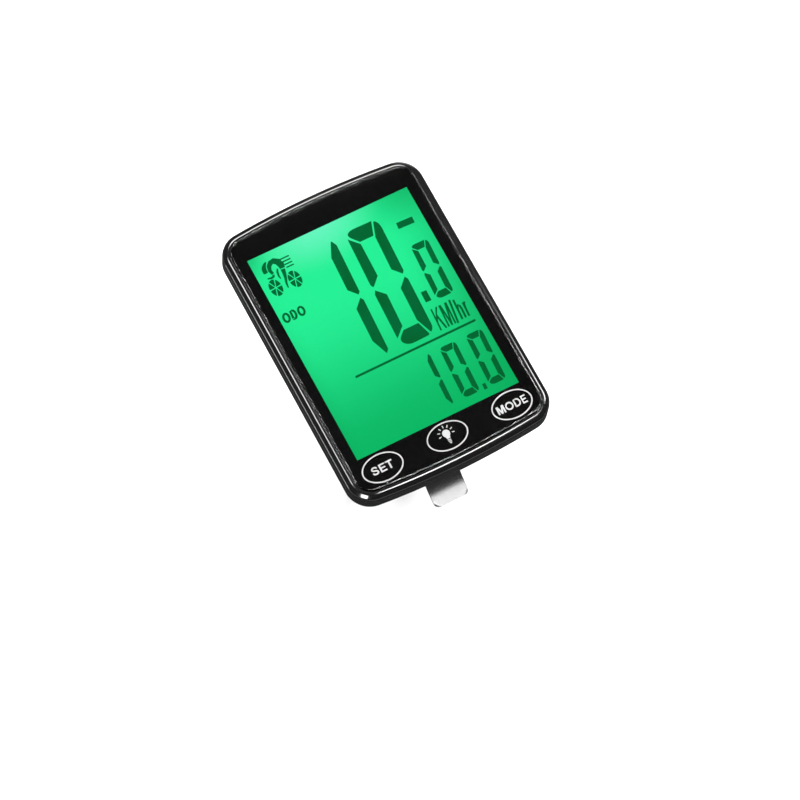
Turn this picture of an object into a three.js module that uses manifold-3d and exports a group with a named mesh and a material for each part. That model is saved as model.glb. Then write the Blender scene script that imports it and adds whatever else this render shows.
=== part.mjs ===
// A handlebar cycling computer: a display head that slides onto a sprung bracket, tied to the bar.
// Millimetres, +Z up. The origin is on the handlebar's axis, under the middle of the head.
// +X is to the rider's right, +Y is forwards (the top of the display), +Z comes out of the display.
import * as THREE from "three";
import { mergeVertices } from "three/addons/utils/BufferGeometryUtils.js";
import Module from "manifold-3d";

const wasm = await Module();
wasm.setup();

// Case
const caseWidth = 47.9;
const caseHeight = 68.8;
const caseCorner = 5; // plan radius of the outer corners
const endRise = 1.439; // how far the bowed ends stand out in the middle
const caseWall = 1.6;
const frontDepth = 4.7; // rim down to the joint between the two housings
const backDepth = 13.6; // rim down to the back face
const rimInset = 1.16; // the chamfer from the side wall up to the rim
const rimDrop = 0.75;
const backInset = 0.35; // the back housing stands in from the front one
const backTaper = 3.5; // and tapers in this much more by the back face
const backFloor = 1.4;
const backCorner = 0.3; // least plan radius of the back's corners
const jointGap = 0.25;

// Window and its openings
const lensThickness = 1.3;
const lensProud = 0.87; // lens face above the rim
const lensInset = 1.98;
const lensGap = 0.25;
const lensChamfer = 0.2;
const adhesiveThickness = 0.2;
const adhesiveInset = 0.5; // adhesive from the lens's edge
const adhesiveGap = 0.4; // and from the clear part
const keyAdhesiveGap = 1; // and from the touch springs
const deckThickness = 1.1; // the ledge under the lens
const bezelSide = 4.65; // case edge to the clear part
const bezelTop = 7.85;
const bezelBottom = 10.45;
const viewMargin = 0.5;
const keyInset = 8.55; // outer keys from the case's sides
const keyBand = 6.6; // key row above the case's lower edge
const keyHoleGap = 0.6;

// Seal, tongue and hooks between the two housings
const sealInset = 0.95;
const sealWidth = 0.6;
const sealHeight = 0.6;
const tongueGap = 0.3;
const tongueThickness = 0.8;
const tongueRise = 1.1; // above the joint
const tongueRoot = 1.8; // below the joint
const hookPlace = 12;
const hookHalf = 2;
const hookReach = 0.9;
const hookRise = 0.4; // hook's lower face above the joint
const hookThickness = 0.5;

// Display stack, from the deck down
const layerGap = 0.05;
const polariserThickness = 0.2;
const polariserInset = 0.2;
const glassThickness = 0.7;
const filmThickness = 0.15;
const guideThickness = 1.4;
const boardThickness = 0.8;
const boardGap = 0.3;
const glassMargin = 0.85; // glass past the clear part, all round
const glassLedge = 1.9; // the front glass's contact ledge, past the rear glass
const frameWall = 0.6;
const frameCorner = 1.5;
const seatGap = 0.03; // under the glass in its frame
const fitGap = 0.2; // parts that drop into each other
const boardInset = 3.25; // board edge from the case's outline

// Touch springs, backlight lamps and elastomer connector
const touchSpringRadius = 1.8;
const touchSpringWire = 0.35;
const touchSpringTurns = 3.5;
const lampSize = [3, 0.9, 1.3];
const lampSpacing = 7;
const stripWidth = 1.3;
const stripGap = 0.15;
const stripInset = 0.6; // its ends from the light guide's

// Parts under the board: places are from the case's centre
const blobPlace = [-13.2, -15];
const blobRadius = 4.5;
const blobHeight = 1.4;
const chipPlace = [13.25, -15];
const chipSize = [6.5, 5, 1.3];
const crystalPlace = [13, -2.5];
const crystalRadius = 1;
const crystalLength = 6;
const capacitorPlace = [-13.8, -4];
const capacitorRadius = 1.5;
const capacitorLength = 4.4;
const coilRow = -7;
const coilLength = 15;
const coilCoreRadius = 1.2;
const coilBoreRadius = 1.3;
const coilWireRadius = 1.95; // outside of the winding
const coilWireHalf = 4.5;
const coilDrop = 2.5; // its axis below the board

// Coin cell, its contacts and its cap
const cellDiameter = 20;
const cellThickness = 3.2;
const cellBand = 5.75; // the well's wall from the case's upper edge
const cellGap = 0.35;
const canSheet = 0.25;
const canFillet = 0.4;
const canHeight = 2.56; // up to the crimped lip
const gasketGap = 0.05;
const gasketThickness = 0.55;
const lidDepth = 2.7;
const wellWall = 1.15;
const contactThickness = 0.2;
const contactHalf = 1.5;
const contactSlotHalf = 2.2;
const hubWall = 0.6;
const capFlange = 1; // thickness of the cap's flange
const capReach = 0.9; // flange past the bayonet ledge's bore
const capGap = 0.25;
const capSunk = 0.1; // cap's face above the back face
const ledgeThickness = 0.8; // bayonet ledge
const lugReach = 1;
const lugThickness = 0.5;
const lugAngle = 24; // degrees
const lugNotch = 6; // degrees that a notch is wider than its lug
const lugCount = 3;
const capTurn = 45; // degrees from locked to free, counter-clockwise as seen from behind
const capSealWire = 0.56;
const capSealDepth = 0.6;
const coinSlot = [13, 1.9, 0.7];

// Fasteners
const screwBand = 6.8; // screw row above the case's lower edge
const caseScrewShank = 1.8;
const caseScrewHead = 3.2;
const caseScrewSink = 3.2; // seat above the back face
const caseScrewLength = 7.15;
const caseScrewSpace = 0.7; // well's wall from the catch channel's
const boardScrewInset = 5.05;
const boardScrewShank = 1.4;
const boardScrewHead = 2.8;
const boardScrewLength = 3.18;
const bossWall = 0.7;
const bossRoof = 0.4;
const screwGap = 0.1;
const screwBore = 0.2; // gap round a shank that passes through
const screwWellGap = 0.3;
const screwWellWall = 0.6;

// Handlebar bracket
const barDiameter = 25.4;
const padThickness = 1.6;
const padGap = 0.3;
const padAngle = 33; // degrees that the pad starts above the bar's middle
const saddleWall = 3.4; // bracket above the pad, at its thinnest
const saddleAngle = 28.65; // degrees that the saddle starts above the bar's middle
const blockRearReach = 1.4; // block past the saddle's radius
const blockFrontReach = -0.6;
const blockEdge = 0.9; // outside the tie grooves
const railReach = 2; // flange past the block, each side
const flangeThickness = 1.6;
const flangeStep = 5; // flange's front end from the block's
const railGap = 0.3;
const earWall = 1.8;
const earLip = 1.2;
const earStop = 1.5;
const restGap = 0.4; // bracket top to the head's back
const headForward = 7.5; // the head's centre, forward of the bar

// Release spring
const springWidth = 8.4;
const springThickness = 0.5;
const springDepth = 1; // its middle below the bracket's top
const springRootStep = 3; // clamped end from the block's front
const springHingeStep = 10.3; // where it starts to flex
const springSlit = 0.3; // between the clamped end and the part that flexes
const springPress = 6; // degrees of travel
const springSideGap = 0.4;
const springFloorGap = 0.35;
const recessWall = 1; // between its recess and the tie grooves
const catchStep = 2.9; // catch's rear face from the block's rear
const catchHeight = 2.3;
const catchTop = 0.9; // length of its flat top
const catchRamp = 1.8;
const catchDepth = 1.6; // channel for it in the head's back
const catchRoom = 1;
const channelBand = 5.2; // the channel's roof starts above the case's lower edge
const keeperLength = 1.3;
const tabBend = [-2.2, -1]; // the tab's corners, from the block's rear end at the spring's level
const tabKnee = [-3.2, -6.6];
const tabFlare = [-6.1, -9.3];
const tabTip = [-10.5, -10.9];
const tabStraight = 0.9;
const tabCorner = 1.3;
const rivetDiameter = 1.9;
const rivetHead = 3.4;
const rivetHeight = 0.6;
const rivetGrip = 2.4;
const rivetSpacing = 4.4;
const rivetStep = 6.2; // from the block's front

// Cable ties
const tieWidth = 3.6;
const tieThickness = 1.2;
const tieGap = 0.15;
const tieSideGap = 0.2;
const tieSunk = 0.25; // strap's top below the bracket's
const tieNotch = 1; // depth of the notches in the bracket's ends
const tieHead = [5.4, 5, 4.4];
const tieHeadAngle = -28; // degrees round the bar from straight forwards
const tieHeadGap = 0.1;
const tieTail = 5;

const curveSteps = 4; // three.js gives an arc twice as many sides
const tieSteps = 7;
const padSteps = 9;
const springSteps = 9; // for each turn
const boreSteps = 16;
const bossSteps = 20;
const roundSteps = 32;
const cellSteps = 40;
const lap = 0.1; // how far joined solids run into each other
const past = 1; // how far a cut runs past a face
const far = 200;

const colours = {
  glossBlack: [0x101113, 0.12, 0],
  satinBlack: [0x17181a, 0.5, 0],
  lens: [0x0c0d0e, 0.05, 0],
  glass: [0x2bd98a, 0.15, 0],
  film: [0xbfd8c8, 0.3, 0],
  whitePlastic: [0xe8e8e2, 0.5, 0],
  guide: [0xd8f5e6, 0.1, 0],
  rubber: [0x1b1b1b, 0.85, 0],
  board: [0x1d6b3a, 0.45, 0],
  steel: [0xc9cbcd, 0.28, 1],
  copper: [0xb5653a, 0.35, 1],
  ferrite: [0x3a3a3d, 0.7, 0],
  lamp: [0x9dffc8, 0.3, 0],
  nylon: [0x1a1a1a, 0.55, 0],
};

// Levels in the head's frame, where the rim is at 0
const lensBottom = lensProud - lensThickness;
const adhesiveTop = lensBottom - layerGap;
const deckTop = adhesiveTop - adhesiveThickness - layerGap;
const deckBottom = deckTop - deckThickness;
const layers = stackDown(deckBottom - layerGap, [
  ["frontPolariser", polariserThickness],
  ["frontGlass", glassThickness],
  ["rearGlass", glassThickness],
  ["rearPolariser", filmThickness],
  ["diffuser", filmThickness],
  ["guide", guideThickness],
  ["reflector", filmThickness],
]);
const boardTop = layers.reflector.bottom - boardGap;
const boardBottom = boardTop - boardThickness;
const chipTop = boardBottom - layerGap;
const coilLevel = boardBottom - coilDrop;
const backTop = -frontDepth - jointGap;
const backFace = -backDepth;
const floorTop = backFace + backFloor;
const taperSlope = backTaper / (backTop - backFace);
const sealTop = -frontDepth - layerGap;
const tongueTop = -frontDepth + tongueRise;
const hookLevels = [-frontDepth + hookRise, -frontDepth + hookRise + hookThickness];
const caseScrewSeat = backFace + caseScrewSink;
const boardScrewSeat = boardBottom - layerGap;
const capBottom = backFace + capSunk;
const ledgeBottom = capBottom + capFlange + layerGap;
const ledgeTop = ledgeBottom + ledgeThickness;
const lugBottom = ledgeTop + layerGap;
const lugTop = lugBottom + lugThickness;
const capSealLevels = [ledgeBottom + layerGap, ledgeTop];
const cellBottom = lugTop + fitGap;
const cellTop = cellBottom + cellThickness;

// Places in the head's plan
const endBow = ((caseWidth / 2) ** 2 + endRise ** 2) / (2 * endRise);
const viewWidth = caseWidth - 2 * bezelSide;
const viewTop = caseHeight / 2 - bezelTop;
const viewBottom = bezelBottom - caseHeight / 2;
const keyPitch = caseWidth / 2 - keyInset;
const keyRow = keyBand - caseHeight / 2;
const glassHalf = viewWidth / 2 + glassMargin;
const glassTop = viewTop + glassMargin;
const glassBottom = viewBottom - glassMargin;
const guideHalf = viewWidth / 2;
const lampRow = viewTop + fitGap + lampSize[1] / 2;
const stripRow = glassTop + glassLedge / 2;
const tongueInset = caseWall + tongueGap;
const channelHalf = springWidth / 2 + springSideGap;
const caseScrewWellRadius = caseScrewHead / 2 + screwWellGap;
const caseScrewColumn = channelHalf + backFloor + caseScrewSpace + screwWellWall + caseScrewWellRadius;
const caseScrewPlace = [caseScrewColumn, screwBand - caseHeight / 2];
const boardScrewPlace = [caseWidth / 2 - boardScrewInset, screwBand - caseHeight / 2];
const pillarRadius = caseScrewShank / 2 + screwBore + bossWall;

// Radii of the coin cell's well and cap
const wellBore = cellDiameter / 2 + cellGap;
const hubRadius = wellBore + hubWall;
const ledgeBore = hubRadius + capGap;
const lugRadius = hubRadius + lugReach;
const flangeRadius = ledgeBore + capReach;
const capSealRadius = hubRadius - capSealDepth;
const lugGrooveRadius = lugRadius + cellGap;
const cellRow = caseHeight / 2 - cellBand - lugGrooveRadius - wellWall;
const cellPlace = [0, cellRow];

// The bracket, in the part's own frame
const barRadius = barDiameter / 2;
const saddleRadius = barRadius + padThickness + padGap;
const plateTop = saddleRadius + saddleWall;
const blockRear = -saddleRadius - blockRearReach;
const blockFront = saddleRadius + blockFrontReach;
const blockBottom = saddleRadius * Math.sin(THREE.MathUtils.degToRad(saddleAngle));
const tieGrooveHalf = tieWidth / 2 + tieSideGap;
const tieOffset = channelHalf + recessWall + tieGrooveHalf;
const tieTop = plateTop - tieThickness - tieSunk; // underside of the strap over the block
const blockWidth = 2 * (tieOffset + tieGrooveHalf + blockEdge);
const padWidth = blockWidth - 2 * padGap;
const flangeWidth = blockWidth + 2 * railReach;
const flangeFront = blockFront - flangeStep;
const flangeBottom = plateTop - flangeThickness;
const headBottom = plateTop + restGap;
const rimLevel = headBottom + backDepth;
const springLevel = plateTop - springDepth;
const springTop = springLevel + springThickness / 2;
const springBottom = springLevel - springThickness / 2;
const springRoot = blockFront - springRootStep;
const springHinge = blockFront - springHingeStep;
const catchRear = blockRear + catchStep;
const rivetRow = blockFront - rivetStep;

function stackDown(top, list) {
  const out = {};
  let level = top;
  for (const [name, thickness] of list) {
    out[name] = { top: level, bottom: level - thickness };
    level -= thickness + layerGap;
  }
  return out;
}

function material(name) {
  const [color, roughness, metalness] = colours[name];
  return new THREE.MeshStandardMaterial({ color, roughness, metalness });
}

// A closed three.js geometry as a solid that can be joined and cut.
function solidOf(geometry) {
  const plain = geometry.index ? geometry.toNonIndexed() : geometry;
  const bare = new THREE.BufferGeometry();
  bare.setAttribute("position", plain.getAttribute("position"));
  const merged = mergeVertices(bare, 1e-4);
  return new wasm.Manifold(
    new wasm.Mesh({
      numProp: 3,
      vertProperties: merged.attributes.position.array,
      triVerts: new Uint32Array(merged.index.array),
    }),
  );
}

function meshOf(name, solid, colour) {
  const { vertProperties, triVerts } = solid.getMesh();
  const geometry = new THREE.BufferGeometry();
  geometry.setAttribute("position", new THREE.BufferAttribute(vertProperties, 3));
  geometry.setIndex(new THREE.BufferAttribute(triVerts, 1));
  geometry.computeVertexNormals();
  const mesh = new THREE.Mesh(geometry, material(colour));
  mesh.name = name;
  return mesh;
}

function box([x0, x1], [y0, y1], [z0, z1]) {
  const geometry = new THREE.BoxGeometry(x1 - x0, y1 - y0, z1 - z0);
  return solidOf(geometry.translate((x0 + x1) / 2, (y0 + y1) / 2, (z0 + z1) / 2));
}

function cylinder(radius, [x, y], [z0, z1], steps = roundSteps) {
  const geometry = new THREE.CylinderGeometry(radius, radius, z1 - z0, steps);
  return solidOf(geometry.rotateX(Math.PI / 2).translate(x, y, (z0 + z1) / 2));
}

// A flat shape in X and Y, made thick from z0 to z1.
function slab(shape, [z0, z1]) {
  const options = { depth: z1 - z0, bevelEnabled: false, curveSegments: curveSteps };
  return solidOf(new THREE.ExtrudeGeometry(shape, options).translate(0, 0, z0));
}

// A slab whose outline narrows by inset over the last drop of its height, at its top or its bottom.
function taperedSlab(shape, [z0, z1], inset, drop, atTop) {
  const options = {
    depth: z1 - z0 - drop + far,
    bevelThickness: drop,
    bevelSize: inset,
    bevelOffset: -inset,
    bevelSegments: 1,
    curveSegments: curveSteps,
  };
  const geometry = new THREE.ExtrudeGeometry(shape, options);
  if (atTop) {
    geometry.translate(0, 0, z1 - drop - options.depth);
    return solidOf(geometry).subtract(box([-far, far], [-far, far], [z0 - 2 * far, z0]));
  }
  geometry.translate(0, 0, z0 + drop);
  return solidOf(geometry).subtract(box([-far, far], [-far, far], [z1, z1 + 2 * far]));
}

// A shape drawn in Y and Z, made thick along X.
function sideSlab(shape, [x0, x1], steps = curveSteps) {
  const options = { depth: x1 - x0, bevelEnabled: false, curveSegments: steps };
  const geometry = new THREE.ExtrudeGeometry(shape, options);
  const turn = new THREE.Matrix4().makeBasis(
    new THREE.Vector3(0, 1, 0),
    new THREE.Vector3(0, 0, 1),
    new THREE.Vector3(1, 0, 0),
  );
  return solidOf(geometry.applyMatrix4(turn).translate(x0, 0, 0));
}

// A shape drawn in X and Z, made thick along Y.
function frontSlab(shape, [y0, y1]) {
  const options = { depth: y1 - y0, bevelEnabled: false, curveSegments: curveSteps };
  const geometry = new THREE.ExtrudeGeometry(shape, options);
  return solidOf(geometry.rotateX(Math.PI / 2).translate(0, y1, 0));
}

// A profile of [radius, z] points turned about a vertical axis; it runs upwards on its outer side.
function turned(profile, [x, y], steps = roundSteps) {
  const points = profile.map(([r, z]) => new THREE.Vector2(r, z));
  const geometry = new THREE.LatheGeometry(points, steps);
  return solidOf(geometry.rotateX(Math.PI / 2).translate(x, y, 0));
}

function polygon(points) {
  return new THREE.Shape(points.map(([x, y]) => new THREE.Vector2(x, y)));
}

function roundedRectangle([x0, x1], [y0, y1], radius) {
  const shape = new THREE.Shape();
  shape.absarc(x1 - radius, y1 - radius, radius, 0, Math.PI / 2, false);
  shape.absarc(x0 + radius, y1 - radius, radius, Math.PI / 2, Math.PI, false);
  shape.absarc(x0 + radius, y0 + radius, radius, Math.PI, 1.5 * Math.PI, false);
  shape.absarc(x1 - radius, y0 + radius, radius, 1.5 * Math.PI, 2 * Math.PI, false);
  return shape;
}

// The case in plan, inset all round: straight sides, bowed ends and round corners.
function caseOutline(inset, leastCorner = 0.3) {
  const halfWidth = caseWidth / 2 - inset;
  const halfHeight = caseHeight / 2 - inset;
  const radius = Math.max(caseCorner - inset, leastCorner);
  const bow = endBow - inset;
  const cornerX = halfWidth - radius;
  const bowY = halfHeight - bow;
  const cornerY = bowY + Math.sqrt((bow - radius) ** 2 - cornerX ** 2);
  const lean = Math.atan2(cornerY - bowY, cornerX);
  const shape = new THREE.Shape();
  shape.absarc(cornerX, cornerY, radius, 0, lean, false);
  shape.absarc(0, bowY, bow, lean, Math.PI - lean, false);
  shape.absarc(-cornerX, cornerY, radius, Math.PI - lean, Math.PI, false);
  shape.absarc(-cornerX, -cornerY, radius, Math.PI, Math.PI + lean, false);
  shape.absarc(0, -bowY, bow, Math.PI + lean, 2 * Math.PI - lean, false);
  shape.absarc(cornerX, -cornerY, radius, 2 * Math.PI - lean, 2 * Math.PI, false);
  return shape;
}

function caseRing(outerInset, innerInset, levels) {
  const [z0, z1] = levels;
  const inner = slab(caseOutline(innerInset), [z0 - past, z1 + past]);
  return slab(caseOutline(outerInset), levels).subtract(inner);
}

// The outline of a folded strip of sheet, from the middle line of its profile.
function strip(points, thickness) {
  const line = points.map(([x, y]) => new THREE.Vector2(x, y));
  const normals = line.slice(1).map((p, i) => {
    const along = p.clone().sub(line[i]).normalize();
    return new THREE.Vector2(-along.y, along.x);
  });
  const offsets = line.map((p, i) => {
    const before = normals[Math.max(i - 1, 0)];
    const after = normals[Math.min(i, normals.length - 1)];
    const middle = before.clone().add(after).normalize();
    return middle.multiplyScalar(thickness / 2 / middle.dot(after));
  });
  const upper = line.map((p, i) => p.clone().add(offsets[i]));
  const lower = line.map((p, i) => p.clone().sub(offsets[i]));
  return new THREE.Shape([...lower, ...upper.reverse()]);
}

class Helix extends THREE.Curve {
  constructor(radius, turns, [z0, z1]) {
    super();
    Object.assign(this, { radius, turns, z0, z1 });
  }

  getPoint(t, target = new THREE.Vector3()) {
    const angle = 2 * Math.PI * this.turns * t;
    const x = this.radius * Math.cos(angle);
    const y = this.radius * Math.sin(angle);
    return target.set(x, y, this.z0 + (this.z1 - this.z0) * t);
  }
}

function bothSides(place) {
  const [x, y] = place;
  return [
    ["left", [-x, y]],
    ["right", [x, y]],
  ];
}

function frontHousing() {
  const shell = taperedSlab(caseOutline(0), [-frontDepth, 0], rimInset, rimDrop, true);
  const pocket = slab(caseOutline(lensInset - lensGap), [deckTop, past]);
  const hollow = slab(caseOutline(caseWall), [-far, deckBottom]);
  let housing = shell.subtract(pocket).subtract(hollow).subtract(viewOpening());
  for (const column of [-1, 0, 1]) {
    const place = [column * keyPitch, keyRow];
    const hole = cylinder(touchSpringRadius + keyHoleGap, place, [-far, 0]);
    housing = housing.subtract(hole);
  }
  for (const [, place] of bothSides(caseScrewPlace)) {
    housing = housing.add(boss(place, caseScrewShank, backTop));
  }
  for (const [, place] of bothSides(boardScrewPlace)) {
    housing = housing.add(boss(place, boardScrewShank, boardTop + layerGap));
  }
  return housing.subtract(hookPockets());
}

function viewOpening() {
  const half = viewWidth / 2 + viewMargin;
  return box([-half, half], [viewBottom - viewMargin, viewTop + viewMargin], [-far, past]);
}

// A screw boss under the deck, with its pilot hole.
function boss(place, shank, bottom) {
  const pilot = shank / 2 + screwGap;
  const post = cylinder(pilot + bossWall, place, [bottom, deckBottom + lap], bossSteps);
  return post.subtract(cylinder(pilot, place, [bottom - past, deckBottom - bossRoof], boreSteps));
}

function hookPockets() {
  const [low, high] = hookLevels;
  const top = caseHeight / 2 - caseWall;
  const pocket = (x) => {
    const across = [x - hookHalf - fitGap, x + hookHalf + fitGap];
    return box(across, [top - past, top + hookReach / 2], [low - fitGap, high + fitGap]);
  };
  return pocket(-hookPlace).add(pocket(hookPlace));
}

function hooks() {
  const [low, high] = hookLevels;
  const top = caseHeight / 2 - tongueInset;
  const hook = (x) => {
    const across = [x - hookHalf, x + hookHalf];
    return box(across, [top - tongueThickness, top + hookReach / 2], [low, high]);
  };
  return hook(-hookPlace).add(hook(hookPlace));
}

function caseSeal() {
  return caseRing(sealInset, sealInset + sealWidth, [sealTop - sealHeight, sealTop]);
}

function sealGroove() {
  const bottom = sealTop - sealHeight - layerGap;
  return caseRing(sealInset - layerGap, sealInset + sealWidth + layerGap, [bottom, backTop + past]);
}

function backHousing() {
  const outline = caseOutline(backInset, backTaper + backCorner);
  const shell = taperedSlab(outline, [backFace, backTop], backTaper, backTop - backFace, false);
  let housing = shell.subtract(backCavity());
  housing = housing.add(tongue());
  housing = housing.add(hooks()).subtract(sealGroove());
  housing = cellWell(housing);
  housing = catchChannel(housing);
  housing = housing.add(slideEars());
  for (const [, place] of bothSides(caseScrewPlace)) {
    housing = caseScrewWell(housing, place);
  }
  return housing;
}

function backCavity() {
  const inset = (backTop - floorTop) * taperSlope;
  const top = backTop + lap;
  const outline = caseOutline(backInset + caseWall, inset + backCorner);
  return taperedSlab(outline, [floorTop, top], inset, top - floorTop, false);
}

function tongue() {
  const levels = [backTop - tongueRoot, tongueTop];
  return caseRing(tongueInset, tongueInset + tongueThickness, levels);
}

// The coin cell's well: a recess for the cap's flange, a bayonet ledge, and a wall round the cell.
function cellWell(housing) {
  const grooveTop = lugTop + capGap;
  const slotBottom = grooveTop + hubWall;
  const disc = (radius, levels) => cylinder(radius, cellPlace, levels, cellSteps);
  const block = disc(lugGrooveRadius + wellWall, [backFace, slotBottom - lap]);
  const wall = disc(wellBore + wellWall, [grooveTop, cellTop + fitGap]);
  let well = housing.add(block).add(wall);
  well = well.subtract(disc(wellBore, [backFace - past, cellTop + past]));
  well = well.subtract(disc(flangeRadius + capGap, [backFace - past, ledgeBottom]));
  well = well.subtract(disc(ledgeBore, [ledgeBottom - lap, grooveTop]));
  well = well.subtract(disc(lugGrooveRadius, [ledgeTop, grooveTop]));
  const notchLevels = [ledgeBottom - lap, ledgeTop + lap];
  well = well.subtract(lugs(lugGrooveRadius, notchLevels, lugAngle + lugNotch, -capTurn));
  const across = [wellBore - past, wellBore + wellWall + past];
  const rows = [cellRow - contactSlotHalf, cellRow + contactSlotHalf];
  return well.subtract(box(across, rows, [slotBottom, cellTop + past]));
}

// Bayonet lugs as sectors of a disc, turned by a number of degrees from the locked place.
function lugs(radius, levels, width, turn) {
  const half = THREE.MathUtils.degToRad(width / 2);
  let all = null;
  for (let i = 0; i < lugCount; i += 1) {
    const middle = THREE.MathUtils.degToRad(90 + turn + (360 / lugCount) * i);
    const sector = new THREE.Shape();
    sector.absarc(0, 0, radius, middle - half, middle + half, false);
    sector.absarc(0, 0, hubRadius - past, middle + half, middle - half, true);
    const lug = slab(sector, levels).translate(0, cellRow, 0);
    all = all ? all.add(lug) : lug;
  }
  return all;
}

// The channel in the back that the release catch runs in, and the keeper that it holds.
function catchChannel(housing) {
  const start = catchRear + catchTop + catchRamp + catchRoom - headForward;
  const end = -caseHeight / 2;
  const ceiling = backFace + catchDepth;
  const blockHalf = channelHalf + backFloor;
  const blockRows = [end + channelBand, start + backFloor];
  const block = box([-blockHalf, blockHalf], blockRows, [backFace + lap, ceiling + backFloor]);
  const keeperFront = catchRear - springThickness / 2 - railGap - headForward;
  const keeperRows = [keeperFront - keeperLength, keeperFront];
  const keeper = box([-channelHalf - lap, channelHalf + lap], keeperRows, [backFace, ceiling + lap]);
  const channel = box([-channelHalf, channelHalf], [end, start], [backFace - past, ceiling]);
  return housing.add(block).subtract(channel).add(keeper);
}

// The two hooked rails under the head that hold it on the bracket.
function slideEars() {
  const inner = flangeWidth / 2 + railGap;
  const outer = inner + earWall;
  const lip = blockWidth / 2 + railGap;
  const lipTop = flangeBottom - railGap - rimLevel;
  const lipBottom = lipTop - earLip;
  const rear = blockRear + railGap - headForward;
  const stop = flangeFront + railGap - headForward;
  const front = stop + earStop;
  const ear = (side) => {
    const span = (a, b) => (side > 0 ? [a, b] : [-b, -a]);
    const wall = box(span(inner, outer), [rear, front], [lipBottom, backFace + lap]);
    const foot = box(span(lip, outer), [rear, front], [lipBottom, lipTop]);
    const end = box(span(lip, outer), [stop, front], [lipBottom, backFace + lap]);
    return wall.add(foot).add(end);
  };
  return ear(-1).add(ear(1));
}

function caseScrewWell(housing, place) {
  const postRadius = caseScrewWellRadius + screwWellWall;
  const post = cylinder(postRadius, place, [backFace + lap, caseScrewSeat + screwWellWall], bossSteps);
  const pillar = cylinder(pillarRadius, place, [caseScrewSeat, backTop - layerGap], bossSteps);
  const bore = cylinder(caseScrewShank / 2 + screwBore, place, [backFace, backTop + past], boreSteps);
  const recess = cylinder(caseScrewWellRadius, place, [backFace - past, caseScrewSeat], bossSteps);
  return housing.add(post).add(pillar).subtract(bore).subtract(recess);
}

// A pan-head screw pointing up, with a cross recess in its head.
function screw([x, y], shank, head, seat, length) {
  const headHeight = head * 0.36;
  const bottom = seat - headHeight;
  const tip = seat + length;
  const profile = [
    [0, bottom],
    [head * 0.36, bottom],
    [head / 2, bottom + headHeight * 0.6],
    [head / 2, seat],
    [shank / 2, seat],
    [shank / 2, tip - shank / 2],
    [0, tip],
  ];
  const arm = head * 0.3;
  const slot = shank * 0.16;
  const cut = [bottom - past, bottom + headHeight / 2];
  const crossX = box([x - arm, x + arm], [y - slot, y + slot], cut);
  const crossY = box([x - slot, x + slot], [y - arm, y + arm], cut);
  return turned(profile, [x, y], boreSteps).subtract(crossX).subtract(crossY);
}

function windowLens() {
  const levels = [lensBottom, lensProud];
  return taperedSlab(caseOutline(lensInset), levels, lensChamfer, lensChamfer, true);
}

function lensAdhesive() {
  const half = viewWidth / 2 + viewMargin + adhesiveGap;
  const rows = [viewBottom - viewMargin, viewTop + viewMargin + adhesiveGap];
  const view = box([-half, half], rows, [-far, far]);
  const keysReach = touchSpringRadius + keyAdhesiveGap;
  const keysHalf = keyPitch + keysReach;
  const keysTop = viewBottom - viewMargin - 2 * adhesiveGap;
  const keys = box([-keysHalf, keysHalf], [keyRow - keysReach, keysTop], [-far, far]);
  const sheet = slab(caseOutline(lensInset + adhesiveInset), [adhesiveTop - adhesiveThickness, adhesiveTop]);
  return sheet.subtract(view).subtract(keys);
}

function layerSlab(name, half, [y0, y1]) {
  const { top, bottom } = layers[name];
  return box([-half, half], [y0, y1], [bottom, top]);
}

function displayFrame() {
  const pocket = glassHalf + fitGap;
  const outer = pocket + frameWall;
  const low = glassBottom - fitGap;
  const high = glassTop + glassLedge + fitGap;
  const across = [-pocket, pocket];
  const outline = roundedRectangle([-outer, outer], [low - frameWall, high + frameWall], frameCorner);
  const frontSeat = [layers.frontGlass.bottom - seatGap, past];
  const rearSeat = [layers.rearPolariser.bottom - seatGap, past];
  let frame = slab(outline, [boardTop + layerGap, deckBottom - layerGap]);
  frame = frame.subtract(box(across, [low, high], frontSeat));
  frame = frame.subtract(box(across, [low, glassTop + fitGap], rearSeat));
  return frame.subtract(guideOpening()).subtract(lampOpenings()).subtract(stripSlot());
}

function guideOpening() {
  const half = guideHalf + fitGap;
  return box([-half, half], [viewBottom - fitGap, viewTop + fitGap], [-far, past]);
}

function lampOpenings() {
  const half = lampSize[0] / 2 + fitGap;
  const rows = [viewTop - past, lampRow + lampSize[1] / 2 + fitGap];
  const opening = (x) => box([x - half, x + half], rows, [-far, layers.guide.top + lap]);
  return opening(-lampSpacing / 2).add(opening(lampSpacing / 2));
}

function stripSlot() {
  const half = guideHalf - stripInset + fitGap;
  const rows = [stripRow - stripWidth / 2 - stripGap, stripRow + stripWidth / 2 + stripGap];
  return box([-half, half], rows, [-far, past]);
}

function backlightLamp(x) {
  const [length, width, height] = lampSize;
  const top = layers.guide.top;
  const rows = [lampRow - width / 2, lampRow + width / 2];
  return box([x - length / 2, x + length / 2], rows, [top - height, top]);
}

function connectorStrip() {
  const half = guideHalf - stripInset;
  const rows = [stripRow - stripWidth / 2, stripRow + stripWidth / 2];
  return box([-half, half], rows, [boardTop + layerGap, layers.frontGlass.bottom - 2 * layerGap]);
}

function mainBoard() {
  let board = slab(caseOutline(boardInset), [boardBottom, boardTop]);
  const half = pillarRadius + fitGap;
  for (const [, [x, y]] of bothSides(caseScrewPlace)) {
    board = board.subtract(box([x - half, x + half], [-far, y + half], [-far, 0]));
  }
  for (const [, place] of bothSides(boardScrewPlace)) {
    board = board.subtract(cylinder(boardScrewShank / 2 + screwBore, place, [-far, 0], boreSteps));
  }
  return board;
}

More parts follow.
